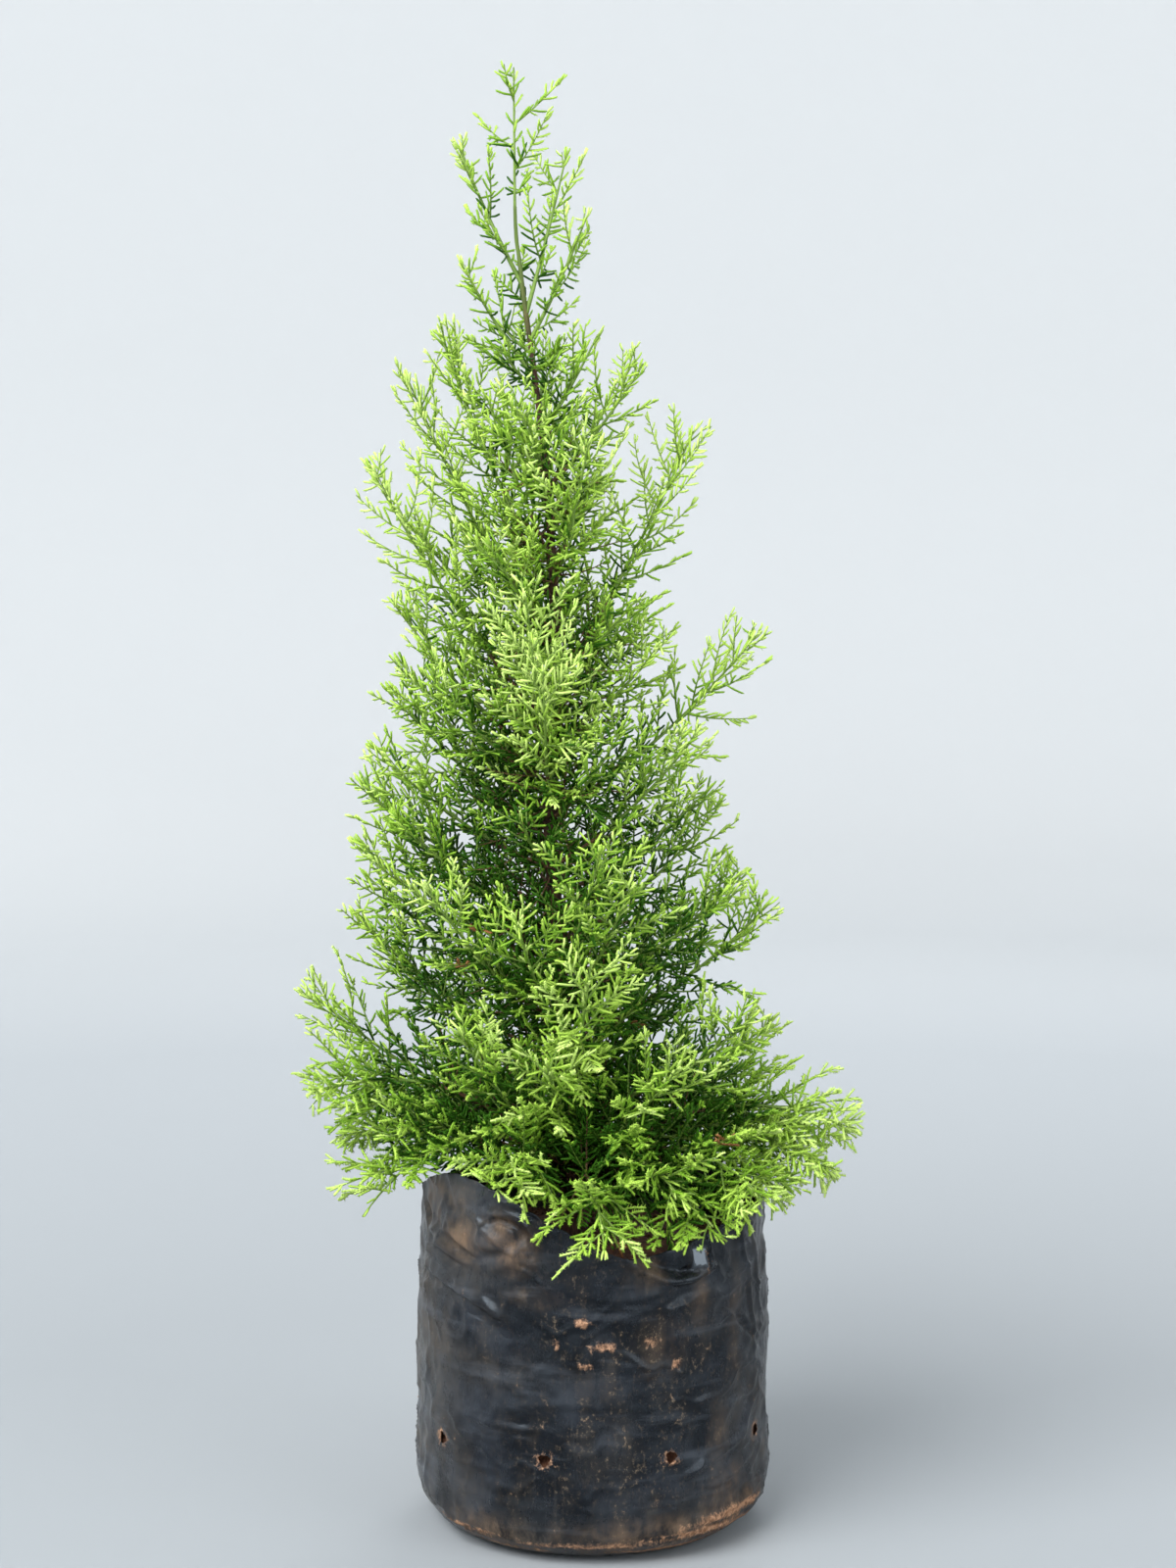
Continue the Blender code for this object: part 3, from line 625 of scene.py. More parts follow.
def cornerLevels(degrees, lowest):
    turns = np.radians(90 * (np.arange(bag["cornerRows"]) + 1) / bag["cornerRows"])
    return [np.full_like(degrees, max(lowest, level)) for level in bag["cornerHeight"] * (1 - np.cos(turns))]


def levelsTo(start, end, rows):
    # Rows of heights from a level, which is left out, to another, which is not.
    return [blend(start, end, share) for share in (np.arange(rows) + 1) / rows]


def levelsFrom(start, end, rows):
    return [blend(start, end, share) for share in np.arange(rows) / rows]


def makeBag():
    degrees = 360 * np.arange(bag["columns"]) / bag["columns"]
    points = directionOf(degrees)
    top = rimHeight(degrees) + sum(size * grain(points, *fineness) for size, *fineness in bag["rimFlutter"])
    foot = levelsTo(points * 0, points * bag["footRadius"], bag["footRows"])
    outer = cornerLevels(degrees, 0) + levelsTo(bag["cornerHeight"], top, bag["sideRows"])
    inner = levelsFrom(top, bag["looseFrom"], bag["insideRows"])
    inner += levelsFrom(bag["looseFrom"], bag["cornerHeight"], bag["lowInsideRows"])
    inner += cornerLevels(degrees, bag["film"])[::-2][:-1]
    outside, inside = filmRings(degrees, 0, outer), filmRings(degrees, bag["film"], inner)
    half = bag["film"] / 2
    middle = outside[-1] - points * half
    turns = np.radians((45, 90, 135))
    lip = [middle + points * half * math.cos(turn) + up * half * math.sin(turn) for turn in turns]
    floor = [points * bag["footRadius"] * share * bag["floorShare"] + up * bag["film"] for share in (1.0, 0.5)]
    shape = lathe(foot + outside + lip + inside + floor, np.zeros(3), up * bag["film"])
    film = makeObject("bagFilm", *shape)
    punchHoles(film)
    paintFilm(film)
    keepPiece(film, "film", ["bag"], filmMaterial())


def holePlaces():
    # Direction and height, in millimetres.
    turns = ((bag["holeTurn"] + 360 * i / bag["holes"]) % 360 for i in range(bag["holes"]))
    return [(turn, bag["holeHeight"] / mm) for turn in turns]


def holePunch(number, direction):
    outward = directionOf(direction)
    centre = outward * bag["radius"] + up * bag["holeHeight"]
    turns = np.radians(np.arange(bag["holeSides"]) * 360 / bag["holeSides"])
    wobble = 1 + 0.16 * np.sin(3 * turns + number) + 0.09 * np.sin(7 * turns + 2 * number)
    ring = np.cos(turns)[:, None] * np.cross(up, outward) + np.sin(turns)[:, None] * up
    ring *= (bag["holeRadius"] * wobble)[:, None]
    inner, outer = (centre + outward * reach for reach in (-bag["holeDepth"], bag["holeDepth"]))
    return lathe([inner + ring, outer + ring], inner, outer)


def punchHoles(film):
    shapes = [holePunch(number, direction) for number, (direction, _) in enumerate(holePlaces())]
    punches = makeCollection("punch", shapes)
    cut = film.modifiers.new("punch", "BOOLEAN")
    cut.operation = "DIFFERENCE"
    cut.operand_type = "COLLECTION"
    cut.collection = punches
    cut.solver = "MANIFOLD"
    bakeModifier(film, cut)
    dropCollection(punches)


def paintFilm(film):
    # Haze, which is partly painted sheen, scuffs, shine, caked soil and dust, as one number each for every
    # point of the film.
    points = np.empty(len(film.data.vertices) * 3)
    film.data.vertices.foreach_get("co", points)
    points = points.reshape(-1, 3)
    degrees, height = degreesOf(points), points[:, 2]
    base, places, (gain, *fineness) = bag["haze"]
    # Painted sheen: most haze on the left and the front left, the sides that face the light
    haze = base + sum(strength * bell(degrees, *where) for *where, strength in places)
    strength, where, heights = bag["topHazeAndSheen"]
    haze += strength * bell(degrees, *where) * smoothStep(height, *heights)
    strength, heights = bag["footHaze"]
    haze += strength * (1 - smoothStep(height, *heights)) + gain * grain(points, *fineness)
    base, places, (gain, *fineness) = bag["scuff"]
    scuff = base + sum(strength * bell(degrees, *where) for *where, strength in places)
    strength, where, starts, ends = bag["frontScuff"]
    midHeight = smoothStep(height, *starts) * (1 - smoothStep(height, *ends))
    scuff += strength * bell(degrees, *where) * midHeight + gain * grain(points, *fineness)
    marks = {"haze": np.clip(haze, 0, 1), "scuff": np.clip(scuff, 0, 1)}
    marks["shine"] = shineShare(degrees, height)[0]
    holeRims = tuple((*place, *bag["holeClay"]) for place in holePlaces())
    for name, spots in (("clay", bag["clay"] + holeRims), ("dust", bag["dust"])):
        marks[name] = np.zeros_like(height)
        for direction, level, halfWidth, halfHeight, strength in spots:
            around, above = onFilm(degrees, height, (direction, level))
            apart = np.hypot(around / halfWidth, above / halfHeight)
            cover = np.clip(bag["markEdges"][name] - bag["markFade"] * apart, 0, 1)
            marks[name] = np.maximum(marks[name], strength * cover)
    for name, values in marks.items():
        setAttribute(film.data, name, "FLOAT", values)


# The soil

soil = {
    "top": 131 * mm,
    "edgeDrop": 4 * mm,
    "gap": 0.35 * mm,
    "lumps": 2.4 * mm,
    "lumpGrain": (34, 4),
    "levelRound": (7 * mm, 22 * mm),  # the top is level near the trunk
    "washedOut": 5 * mm,
    "washedReach": 14.0,  # square millimetres
    "columns": 288,
    "topRows": 40,
    "sideRows": 54,
    "crumbKinds": 5,
    "crumbs": 900,
    "crumbSize": 2.0 * mm,
    "crumbSpread": (0.25, 1.0, 1.6),  # the smallest, the largest, and how many more are small
    "crumbFlatness": (0.7, 1.1),
    "crumbScatter": 0.5 * mm,
    "seed": 5,
}


def soilLumps(points):
    away = smoothStep(fromTrunk(points), *soil["levelRound"])
    return soil["lumps"] * away * (grain(points, *soil["lumpGrain"]) + 0.15)


def washedOut(degrees, height):
    # How far the soil has washed out behind the drain holes.
    depth = np.zeros_like(height)
    for place in holePlaces():
        around, above = onFilm(degrees, height, place)
        depth = np.maximum(depth, np.exp(-((around**2 + above**2) / soil["washedReach"]) ** 2))
    return soil["washedOut"] * depth


def makeSoil():
    degrees = 360 * np.arange(soil["columns"]) / soil["columns"]
    inset = bag["film"] + soil["gap"]
    edge = soil["top"] - soil["edgeDrop"]
    levels = cornerLevels(degrees, inset) + levelsTo(bag["cornerHeight"], edge, soil["sideRows"])
    sides = filmRings(degrees, inset, levels)
    sides = [ring - directionOf(degrees) * washedOut(degrees, ring[:, 2])[:, None] for ring in sides]
    crest = trunkAxis(np.full(1, soil["top"]))[0]
    tops = []
    for share in (np.arange(soil["topRows"]) + 1) / (soil["topRows"] + 1):
        ring = sides[-1] * (1 - share) + crest * share
        ring[:, 2] = edge + soil["edgeDrop"] * share
        ring[:, 2] += soilLumps(ring) * smoothStep(share, 0, 0.12)
        tops.append(ring)
    body = makeObject("pottedSoil", *lathe(sides + tops, up * inset, crest))
    earth = earthMaterial()
    keepPiece(body, "earth", ["soil"], earth)
    makeCrumbs(np.concatenate(tops[1:-4]), earth)


def crumbShape(rng):
    # A small clod: a cube's corners and face centres pushed in and out.
    corners = np.array([(x, y, z) for x in (-1, 1) for y in (-1, 1) for z in (-1, 1)]) * 0.62
    middles = [sign * axis for axis in np.eye(3) for sign in (-1, 1)]
    points = np.concatenate((corners, middles)) * rng.uniform(0.7, 1.15, (14, 1))
    sides = ((0, 1, 3, 2), (4, 6, 7, 5), (0, 4, 5, 1), (2, 3, 7, 6), (0, 2, 6, 4), (1, 5, 7, 3))
    faces = [(ring[i - 1], ring[i], 8 + number) for number, ring in enumerate(sides) for i in (1, 2, 3, 0)]
    return points, faces


def scatterTree(name):
    # Puts one of the shapes of a collection on each point, turned and sized by its attributes.
    tree, given = startTree(name, {"Shapes": "Collection", "Size": "Float"})
    shapes = addNode(tree, "GeometryNodeCollectionInfo", {
        "Collection": given["Shapes"], "Separate Children": True, "Reset Children": True,
    })
    sized = {0: readAttribute(tree, "size", "FLOAT_VECTOR"), "Scale": given["Size"]}
    placed = addNode(tree, "GeometryNodeInstanceOnPoints", {
        "Points": given["Geometry"],
        "Instance": shapes,
        "Pick Instance": True,
        "Instance Index": readAttribute(tree, "kind", "INT"),
        "Rotation": readAttribute(tree, "turn", "FLOAT_VECTOR"),
        "Scale": addNode(tree, "ShaderNodeVectorMath", sized, operation="SCALE"),
    })
    return endTree(tree, placed, given["Material"])


def scatter(name, tree, places, turns, sizes, kinds, shapes, material):
    thing = makeObject(name, places, [])
    setAttribute(thing.data, "turn", "FLOAT_VECTOR", turns)
    setAttribute(thing.data, "size", "FLOAT_VECTOR", sizes)
    setAttribute(thing.data, "kind", "INT", kinds.astype(np.int32))
    growTree(thing, tree, {"Shapes": shapes, "Size": 1.0, "Material": material})
    return thing


def makeCrumbs(places, earth):
    rng = np.random.default_rng(soil["seed"])
    count = soil["crumbs"]
    spots = places[rng.choice(len(places), count, replace=False)]
    spots = spots + rng.normal(0, soil["crumbScatter"], spots.shape)
    least, most, power = soil["crumbSpread"]
    sizes = soil["crumbSize"] * rng.uniform(least, most, (count, 1)) ** power
    sizes = sizes * rng.uniform(*soil["crumbFlatness"], (count, 3))
    shapes = makeCollection("crumb", [crumbShape(rng) for _ in range(soil["crumbKinds"])])
    turns = rng.uniform(0, 2 * math.pi, (count, 3))
    kinds = rng.integers(0, soil["crumbKinds"], count)
    crumbs = scatter("soilCrumbs", scatterTree("crumbScatter"), spots, turns, sizes, kinds, shapes, earth)
    dropCollection(shapes)
    keepPiece(crumbs, "earth", ["soil"])


# The trunk, which follows the same rule as the solid

trunk = {
    "axis": (  # height, and how far it is to the right there
        (131, -9), (200, -12), (270, -16), (330, -20), (392, -16),
        (476, -20.5), (524, -25.5), (588, -34), (612, -36),
    ),
    "leanBack": 8 * mm,
    "footRadius": 4.6 * mm,
    "tipRadius": 0.8 * mm,
    "taperPower": 1.15,
    "flare": 3.0 * mm,
    "flareHeight": 7 * mm,
    "lobes": 3,
    "lobeDepth": 1.0 * mm,
    "steps": 3,
    "sides": 40,
    "ringSpacing": 1.8 * mm,
    "relief": 0.16,  # share of the radius
    "cracks": (0.65, 0.5, 0.2),  # of that, for cracks and for flakes, and how far both are sunk
    "grain": (2.6, 95, (2.6, 2.6, 1.7)),  # how fine round and along it, and the flakes finer still
    "collarHeight": 3.5 * mm,
    "collarRise": 0.9 * mm,
    "collarSpread": 40,  # degrees
    "boughSides": 18,
    "boughRings": 40,
}


def smoothAxis():
    rows = np.array(trunk["axis"], dtype=float) * mm
    heights, places = [], []
    for i in range(len(rows) - 1):
        before, after = rows[max(i - 1, 0), 1], rows[min(i + 2, len(rows) - 1), 1]
        (low, start), (high, end) = rows[i], rows[i + 1]
        for t in np.arange(trunk["steps"]) / trunk["steps"]:
            bent = (2 * before - 5 * start + 4 * end - after) * t**2
            bent += (3 * start - before - 3 * end + after) * t**3
            heights.append(blend(low, high, t))
            places.append(start + ((end - before) * t + bent) / 2)
    return np.array(heights + [rows[-1, 0]]), np.array(places + [rows[-1, 1]])


trunkHeights, trunkPlaces = smoothAxis()
trunkTop = trunkHeights[-1]


def trunkAxis(height):
    rise = np.maximum(0, (height - soil["top"]) / (trunkTop - soil["top"]))
    place = np.interp(height, trunkHeights, trunkPlaces)
    return np.stack((place, trunk["leanBack"] * rise**2, height), axis=-1)


def fromTrunk(points):
    # How far points are from the trunk's middle, on the level.
    return np.linalg.norm((points - trunkAxis(points[:, 2]))[:, :2], axis=1)


def trunkRadius(height):
    left = np.clip((trunkTop - height) / (trunkTop - soil["top"]), 0, 1)
    flare = trunk["flare"] * np.exp(-(height - soil["top"]) / trunk["flareHeight"])
    return blend(trunk["tipRadius"], trunk["footRadius"], left ** trunk["taperPower"]) + flare


def barkRelief(turn, along, seed):
    # Cracks and flakes that run along a limb, as shares of its radius.
    around, upwards, finer = trunk["grain"]
    spots = np.stack((around * np.cos(turn), around * np.sin(turn), along * upwards), axis=-1)
    spots = spots.reshape(-1, 3) + seed
    cracks, flakes, sunk = trunk["cracks"]
    relief = cracks * ridges(spots, 1.0) + flakes * grain(spots * np.array(finer), 1.0, 3) - sunk
    return trunk["relief"] * relief.reshape(turn.shape)


def makeTrunk(plumes, bark):
    count = int((trunkTop - soil["top"]) / trunk["ringSpacing"])
    heights = np.linspace(soil["top"] + soil["gap"], trunkTop, count)
    turn, height = np.meshgrid(2 * math.pi * np.arange(trunk["sides"]) / trunk["sides"], heights)
    lobe = np.exp(-(height - heights[0]) / trunk["flareHeight"]) * (1 - np.cos(trunk["lobes"] * turn))
    radius = (trunkRadius(height) - trunk["lobeDepth"] * lobe) * (1 + barkRelief(turn, height, 0.0))
    for plume in plumes:
        if not plume.isLeader:
            collar = np.exp(-(((height - plume.foot[2]) / trunk["collarHeight"]) ** 2))
            beside = bell(np.degrees(turn), plume.degrees, trunk["collarSpread"])
            collar *= beside * radius / trunk["footRadius"]
            radius += trunk["collarRise"] * collar
    axis = trunkAxis(height.ravel()).reshape(*height.shape, 3)
    rings = list(axis + directionOf(np.degrees(turn)) * radius[..., None])
    stem = makeObject("trunkBark", *lathe(rings, *trunkAxis(heights[[0, -1]])))
    keepPiece(stem, "bark", ["trunk"], bark)


def makeBoughs(plumes, bark):
    # The bare starts of the longest plumes, tapering from the bark out to where they turn leafy.
    points, faces = [], []
    plumes = [plume for plume in plumes if plume.hasBough]
    turns = -2 * math.pi * np.arange(trunk["boughSides"]) / trunk["boughSides"]
    for plume in plumes:
        shares = np.linspace(0.012, crown["boughShare"], trunk["boughRings"])
        centres = plume.at(shares)
        turn, share = np.meshgrid(turns, shares / crown["boughShare"])
        radius = blend(crown["boughRadius"], crown["boughEndRadius"], share)
        radius *= 1 + barkRelief(turn, share * 0.04, plume.number)
        rings = list(centres[:, None] + spokesRound(plume.along(shares)[:, None], turn) * radius[..., None])
        shape, sides = lathe(rings, centres[0], centres[-1])
        shift = len(points) * len(shape)
        points.append(shape)
        faces += [tuple(corner + shift for corner in face) for face in sides]
    limbs = makeObject("boughBark", np.concatenate(points), faces)
    keepPiece(limbs, "bark", [f"bough_{plume.name}" for plume in plumes], bark)


# The crown: plumes, then twigs on each plume, then shoots on each twig

# Name, height of its foot on the trunk, direction, reach, height of its tip; millimetres.
climbingPlumes = (
    ("crown_left", 576, 176, 30, 641),
    ("crown_right", 562, 20, 20, 637),
    ("crown_right_low", 550, 342, 28, 606),
    ("shoulder_left", 533, 185, 34, 585),
    ("shoulder_right", 508, 340, 28, 552),
    ("upper_right", 482, 8, 46, 541),
    ("upper_back", 455, 95, 54, 530),
    ("upper_left_front", 447, 222, 40, 522),
    ("upper_front", 436, 290, 48, 500),
    ("upper_left_inner", 428, 176, 54, 554),
    ("upper_left", 398, 160, 77, 537),
    ("high_right", 392, 12, 66, 511),
    ("upper_left_low", 368, 194, 88, 491),
    ("middle_right", 364, 345, 54, 412),
    ("middle_back", 356, 80, 70, 440),
    ("front_column", 342, 262, 58, 412),
    ("middle_left", 330, 172, 72, 402),
    ("right_arm", 330, 8, 99, 414),
    ("right_low_arm", 305, 335, 74, 369),
    ("lower_left", 272, 176, 94, 346),
    ("lower_right", 268, 18, 80, 331),
    ("lower_back", 262, 100, 88, 345),
    ("lower_front", 240, 293, 80, 303),
    ("lower_left_front", 230, 228, 90, 302),
    ("base_right", 222, 358, 97, 289),
    ("base_left", 214, 172, 102, 283),
    ("base_back_right", 205, 55, 100, 280),
    ("base_right_front", 190, 328, 100, 243),
    ("base_front", 197, 277, 92, 272),
    ("base_back_left", 184, 128, 108, 250),
    ("far_left", 180, 184, 124, 250),
    ("base_front_right", 173, 302, 92, 224),
    ("base_left_front", 169, 238, 92, 240),
    ("steep_right", 168, 14, 100, 229),
)
# The lowest arch over the rim; the last number is the height of the arch.
skirtPlumes = (
    ("skirt_back_right", 158, 62, 112, 190, 19),
    ("skirt_far_left", 160, 198, 124, 204, 22),
    ("skirt_far_right", 156, 350, 133, 184, 23),
    ("skirt_back", 150, 112, 112, 178, 19),
    ("skirt_left", 146, 214, 114, 152, 34),
    ("skirt_front_left", 156, 250, 98, 168, 18),
    ("skirt_right", 146, 322, 112, 160, 26),
    ("skirt_front_right", 159, 301, 98, 164, 16),
    ("skirt_front", 140, 278, 106, 147, 26),
)

crown = {
    "seed": 11,
    "climbSag": 0.09,
    "leaderTip": np.array((-36.5, 9, 677)) * mm,
    # Height and half width, in millimetres
    "outline": (
        (140, 128), (200, 125), (260, 108), (340, 92), (420, 82),
        (500, 78), (540, 68), (570, 46), (600, 34), (680, 13),
    ),
    "boughShare": 0.30,
    "boughRadius": 2.1 * mm,
    "boughEndRadius": 1.3 * mm,
    "stemRadius": 1.15 * mm,
    "stemTipRadius": 0.40 * mm,
    "stemPoints": 18,
    "stemEnd": 0.985,
    "sunkStart": (0.01, -0.015),  # where a stem without a bough starts, and the leader
    "stemShoots": (0.12, 0.97),
    "samples": 24,
    "overlap": 9.0 * mm,  # how far a twig may reach into a neighbour's space
    "shootOverlap": 12.0 * mm,
    "tipMargin": 4.0 * mm,
    "leaderMargin": 1.0 * mm,
    "trunkMargin": 1.2 * mm,
    "rimMargin": 3.0 * mm,
    "soilMargin": 4.0 * mm,
    "reachMargin": 5.0 * mm,
    # How low the foliage hangs outside the bag, by direction; millimetres
    "lowest": (
        (0, 138), (150, 140), (178, 170), (192, 165), (202, 159), (215, 156), (220, 170), (244, 174),
        (250, 152), (258, 136), (300, 136), (322, 144), (345, 144), (360, 138),
    ),
}

# How light each spray is, in tints from 0 for the darkest to 3 for the lightest: partly the plant's
# own colour, young tips paler than old growth, and partly painted light and shade
light = {
    # partly painted shade: darker near the trunk, inside the crown
    "outward": (2.6, 0.38),  # gained from the trunk to the crown's edge, and where that starts
    "alongPlume": (1.2, 0.4),  # and from a plume's foot to its tip
    "scatter": 0.36,
    # painted light: lighter inside the open upper crown
    "upperCrown": (1.8, 1.25, 260 * mm, 480 * mm),  # gained with height, mostly inside
    "leader": (0.5, 520 * mm, 580 * mm),  # lost again near the top
    "lowTips": (0.9, 0.3, 300 * mm, 200 * mm),  # gained by the tips low down
    # painted shade inside the crown, low down
    "lowInsideShade": (0.9, 0.90, 0.45, 350 * mm, 270 * mm),  # lost inside, low down
    # less of that painted shade on the plumes in front
    "front": (0.6, 266, 28),  # less of that in front
    "shoots": (2.0, 0.5, 0.28),  # gained along a twig, and how much shoots differ
    "stems": (2.6, 0.35),
    # How much lighter or darker than the rest a plume is: partly painted light, mostly on the plumes in front
    "plumes": {
        "front_column": 1.7, "lower_left_front": 0.8, "base_left_front": 0.7, "base_front": 1.1,
        "base_front_right": 0.45, "skirt_front": 0.25, "skirt_front_left": 0.6, "upper_front": 0.5,
        "lower_front": 0.6, "middle_right": 0.5, "right_low_arm": 0.5, "middle_left": -0.5,
        "middle_back": -0.5, "base_right": -0.3, "right_arm": 0.0, "lower_left": -0.3, "skirt_left": -0.2,
        "skirt_far_left": -0.2, "far_left": 0.2, "skirt_far_right": 0.1, "upper_left": 0.2,
        "lower_right": 0.25,
    },
}

twigs = {
    "spacing": 4.4 * mm,
    "lowSpacing": 4.1 * mm,
    "topSpacing": 10.5 * mm,
    "lowFoot": 210 * mm,
    "topFoot": 500 * mm,
    "length": 21 * mm,
    "lengthShare": 0.20,
    "lengthJitter": (0.78, 1.18),
    "fullness": (0.60, 0.40, 0.22, 0.78),  # shortest at a plume's foot and tip
    "fewest": 6,
    "ribMarks": (0.35, 0.6, 0.8, 1.0),
    "rodEnd": 0.94,
    "longest": 35 * mm,
    "woodyShare": 0.25,
    "lean": (72, 50),  # out from the stem, low down and at its tip
    "leanJitter": 12,
    "turnJitter": 22,
    "swing": 40,
    "lift": 0.12,
    "skirtLift": 0.05,
    "sweep": (0.7, 0.5),  # on along the stem, and up
    "skirtSweep": (0.7, 0.1),
    "curl": 0.22,
    "curlJitter": (0.3, 1.6),
    "wing": 0.22,  # half width of its spray, as a share of its length
    "radius": 0.50 * mm,
    "tipRadius": 0.24 * mm,
    "points": 6,
    "sides": 4,
    "sizes": (1.2, 1.02, 0.87, 0.73, 0.60, 0.48, 0.36),
    "turns": (0, 35, -35, 70, -70),
    "goldenAngle": 137.5,
}

# Side shoots that fill the crown between the plumes, all round the trunk
fill = {
    "from": 196 * mm,
    "to": 545 * mm,
    "spacing": 8.4 * mm,
    "reach": (0.48, 0.80),  # shares of the crown's radius there
    "reachJitter": (0.88, 1.1),
    # Shorter on the right and near the top: how much, direction and spread, heights
    "openRight": (0.58, (5, 40), (260 * mm, 340 * mm)),
    "openTop": (0.30, (380 * mm, 460 * mm)),
    "rise": 0.72,
    "arch": -0.08,
    # painted shade: the filling shoots are a little darker
    "level": -0.3,
    "turn": 40,
    # Height, direction, reach, height of the tip, arch and how light: first some high ones, then
    # low ones that hang over the rim. How light is partly painted light, highest on the rows in front
    "rows": (
        (352, 190, 74, 428, -7, -0.3), (322, 163, 78, 386, -7, -0.3), (304, 190, 84, 362, -7, -0.3),
        (286, 166, 88, 338, -7, -0.3), (254, 188, 94, 318, -8, 0), (244, 168, 96, 300, -8, -0.3),
        (400, 172, 70, 466, -6, -0.3), (292, 12, 76, 342, -7, -0.3), (250, 340, 88, 298, -7, -0.3),
        (356, 256, 50, 434, -6, 1.4), (330, 268, 58, 398, -6, 1.3), (222, 255, 80, 290, -6, 0.6),
        (180, 264, 86, 226, -4, 0.9), (172, 210, 98, 186, 8, -0.3), (170, 227, 84, 183, 8, -0.2),
        (154, 312, 97, 146, 24, -0.2), (160, 334, 108, 160, 22, -0.2), (156, 346, 124, 166, 25, -0.1),
        (164, 4, 110, 178, 18, -0.3), (156, 28, 104, 170, 20, -0.3), (162, 46, 100, 184, 16, -0.3),
        (154, 86, 100, 168, 22, -0.3), (160, 128, 102, 180, 18, -0.3), (154, 146, 104, 168, 22, -0.3),
        (163, 166, 108, 186, 16, -0.3), (158, 184, 108, 176, 18, -0.3),
    ),
}

shoots = {
    "spacing": 4.7 * mm,
    "combSpacing": 4.2 * mm,
    "topSpacing": 3.8 * mm,
    "stemSpacing": 4.5 * mm,
    "openStemSpacing": 7.5 * mm,
    "spacingJitter": 0.5,  # millimetres
    "from": 1.8 * mm,  # past the twig's foot
    "to": 1.0 * mm,  # short of its tip
    "endShare": 0.93,
    "topHeights": (550 * mm, 600 * mm),
    "lean": (66, 44),  # out from the twig, at its foot and at its tip
    "leanJitter": 10,
    "endLean": 6,
    "stemLean": (62, 34),
    "stemLeanJitter": 8,
    "stemEnds": ((0.975, 26), (0.98, 24), (0.985, 4)),  # share of the stem, and how far each leans out
    "stemTurn": 99.5,
    "offFlat": 0.32,
    "standing": 1.1,  # radians off the flat side
    "standingShare": 0.2,
    "lengthJitter": (0.75, 1.15),
    "fullness": (0.80, 0.42, 0.25, 0.28),  # longest before the middle of a twig
    "stemLengthJitter": (0.65, 1.05),
    "twigShare": 0.62,  # no shoot is longer than this share of its twig
    "kinds": 6,
    "combFrom": 280 * mm,
    "combTo": 180 * mm,
    "combLevel": 0.1,
    "deadShare": 0.005,
    "deadLevel": 0.6,
    "deadTop": 330 * mm,
    "deadFront": -45 * mm,
    "deadSpots": ((12, 141, 5), (-57, 267, 4), (-52, 283, 4), (58, 186, 3)),  # right, up, width
    "slack": 5 * mm,  # how far below the lowest twigs they may hang
    "mostFaces": 185000,
}

# The needles of each kind of shoot: plain ones are dark and deep inside, combs are low and outside
slimNeedles = {
    "count": 4,
    "length": 7.6 * mm,
    "rib": 0.62 * mm,
    "turnJitter": 0.3,
    "reach": (1.0 * mm, 1.0 * mm, 1.5, 2.0),  # at the foot and at the tip, times between these
    "lean": (26, 38),
    "halfWidth": 0.38 * mm,
}
combNeedles = {
    "count": 11,
    "length": 9.2 * mm,
    "rib": 0.58 * mm,
    "turnJitter": 0.28,
    "reach": (2.7 * mm, 1.8 * mm, 0.85, 1.1),
    "lean": (38, 50),
    "halfWidth": 0.52 * mm,
}
needleKinds = ({**slimNeedles, "count": 2}, slimNeedles, combNeedles)
shootForm = {
    "bend": (0.10, 0.26),  # to the side, as a share of its length
    "ribRings": (-0.04, 0.45, 0.88),
    "ribWidths": (0.80, 1.0, 0.92),
    "needlesBetween": (0.10, 0.93),
    "needleFoot": 0.42 * mm,
    "sunk": 0.1 * mm,
}


class Plume:
    def __init__(self, name, foot, tip, arch=0, degrees=None, level=0):
        self.name, self.foot, self.tip, self.degrees = name, foot, tip, degrees
        self.number = 0
        self.level = light["plumes"].get(name, level)
        self.isLeader = degrees is None
        self.outward = up if self.isLeader else directionOf(degrees)
        self.bend = (foot + tip) / 2 + up * 2 * arch
        self.reach = float(np.linalg.norm((tip - foot)[:2]))
        self.sweeps = ("skirtLift", "skirtSweep") if arch > 0 else ("lift", "sweep")
        self.isHigh, self.isLow = foot[2] > twigs["topFoot"], foot[2] < twigs["lowFoot"]
        self.hasBough = f"bough_{name}" in frame["nodes"]
        self.leafyFrom = crown["boughShare"] if self.hasBough else 0.0
        self.marks = self.at(np.linspace(0, 1, crown["samples"] + 1))
        self.length = float(np.linalg.norm(np.diff(self.marks, axis=0), axis=1).sum())

    def at(self, share):
        s = np.atleast_1d(share)[:, None]
        return (1 - s) ** 2 * self.foot + 2 * (1 - s) * s * self.bend + s * s * self.tip

    def along(self, share):
        s = np.atleast_1d(share)[:, None]
        return unit((1 - s) * (self.bend - self.foot) + s * (self.tip - self.bend))


def plumeFrom(name, footHeight, degrees, reach, tipHeight, arch, level=0):
    # The lengths are in millimetres.
    foot = trunkAxis(np.array([footHeight * mm]))[0]
    tip = foot + directionOf(degrees) * reach * mm
    tip[2] = tipHeight * mm
    return Plume(name, foot, tip, arch * mm, degrees, level)


def allPlumes():
    plumes = [plumeFrom(*row, -crown["climbSag"] * row[3]) for row in climbingPlumes]
    plumes += [plumeFrom(*row) for row in skirtPlumes]
    plumes.append(Plume("leader", trunkAxis(np.array([trunkTop]))[0], crown["leaderTip"]))
    for number, plume in enumerate(plumes):
        plume.number = number
    return plumes


def crownRadius(height):
    return np.interp(height / mm, *zip(*crown["outline"])) * mm


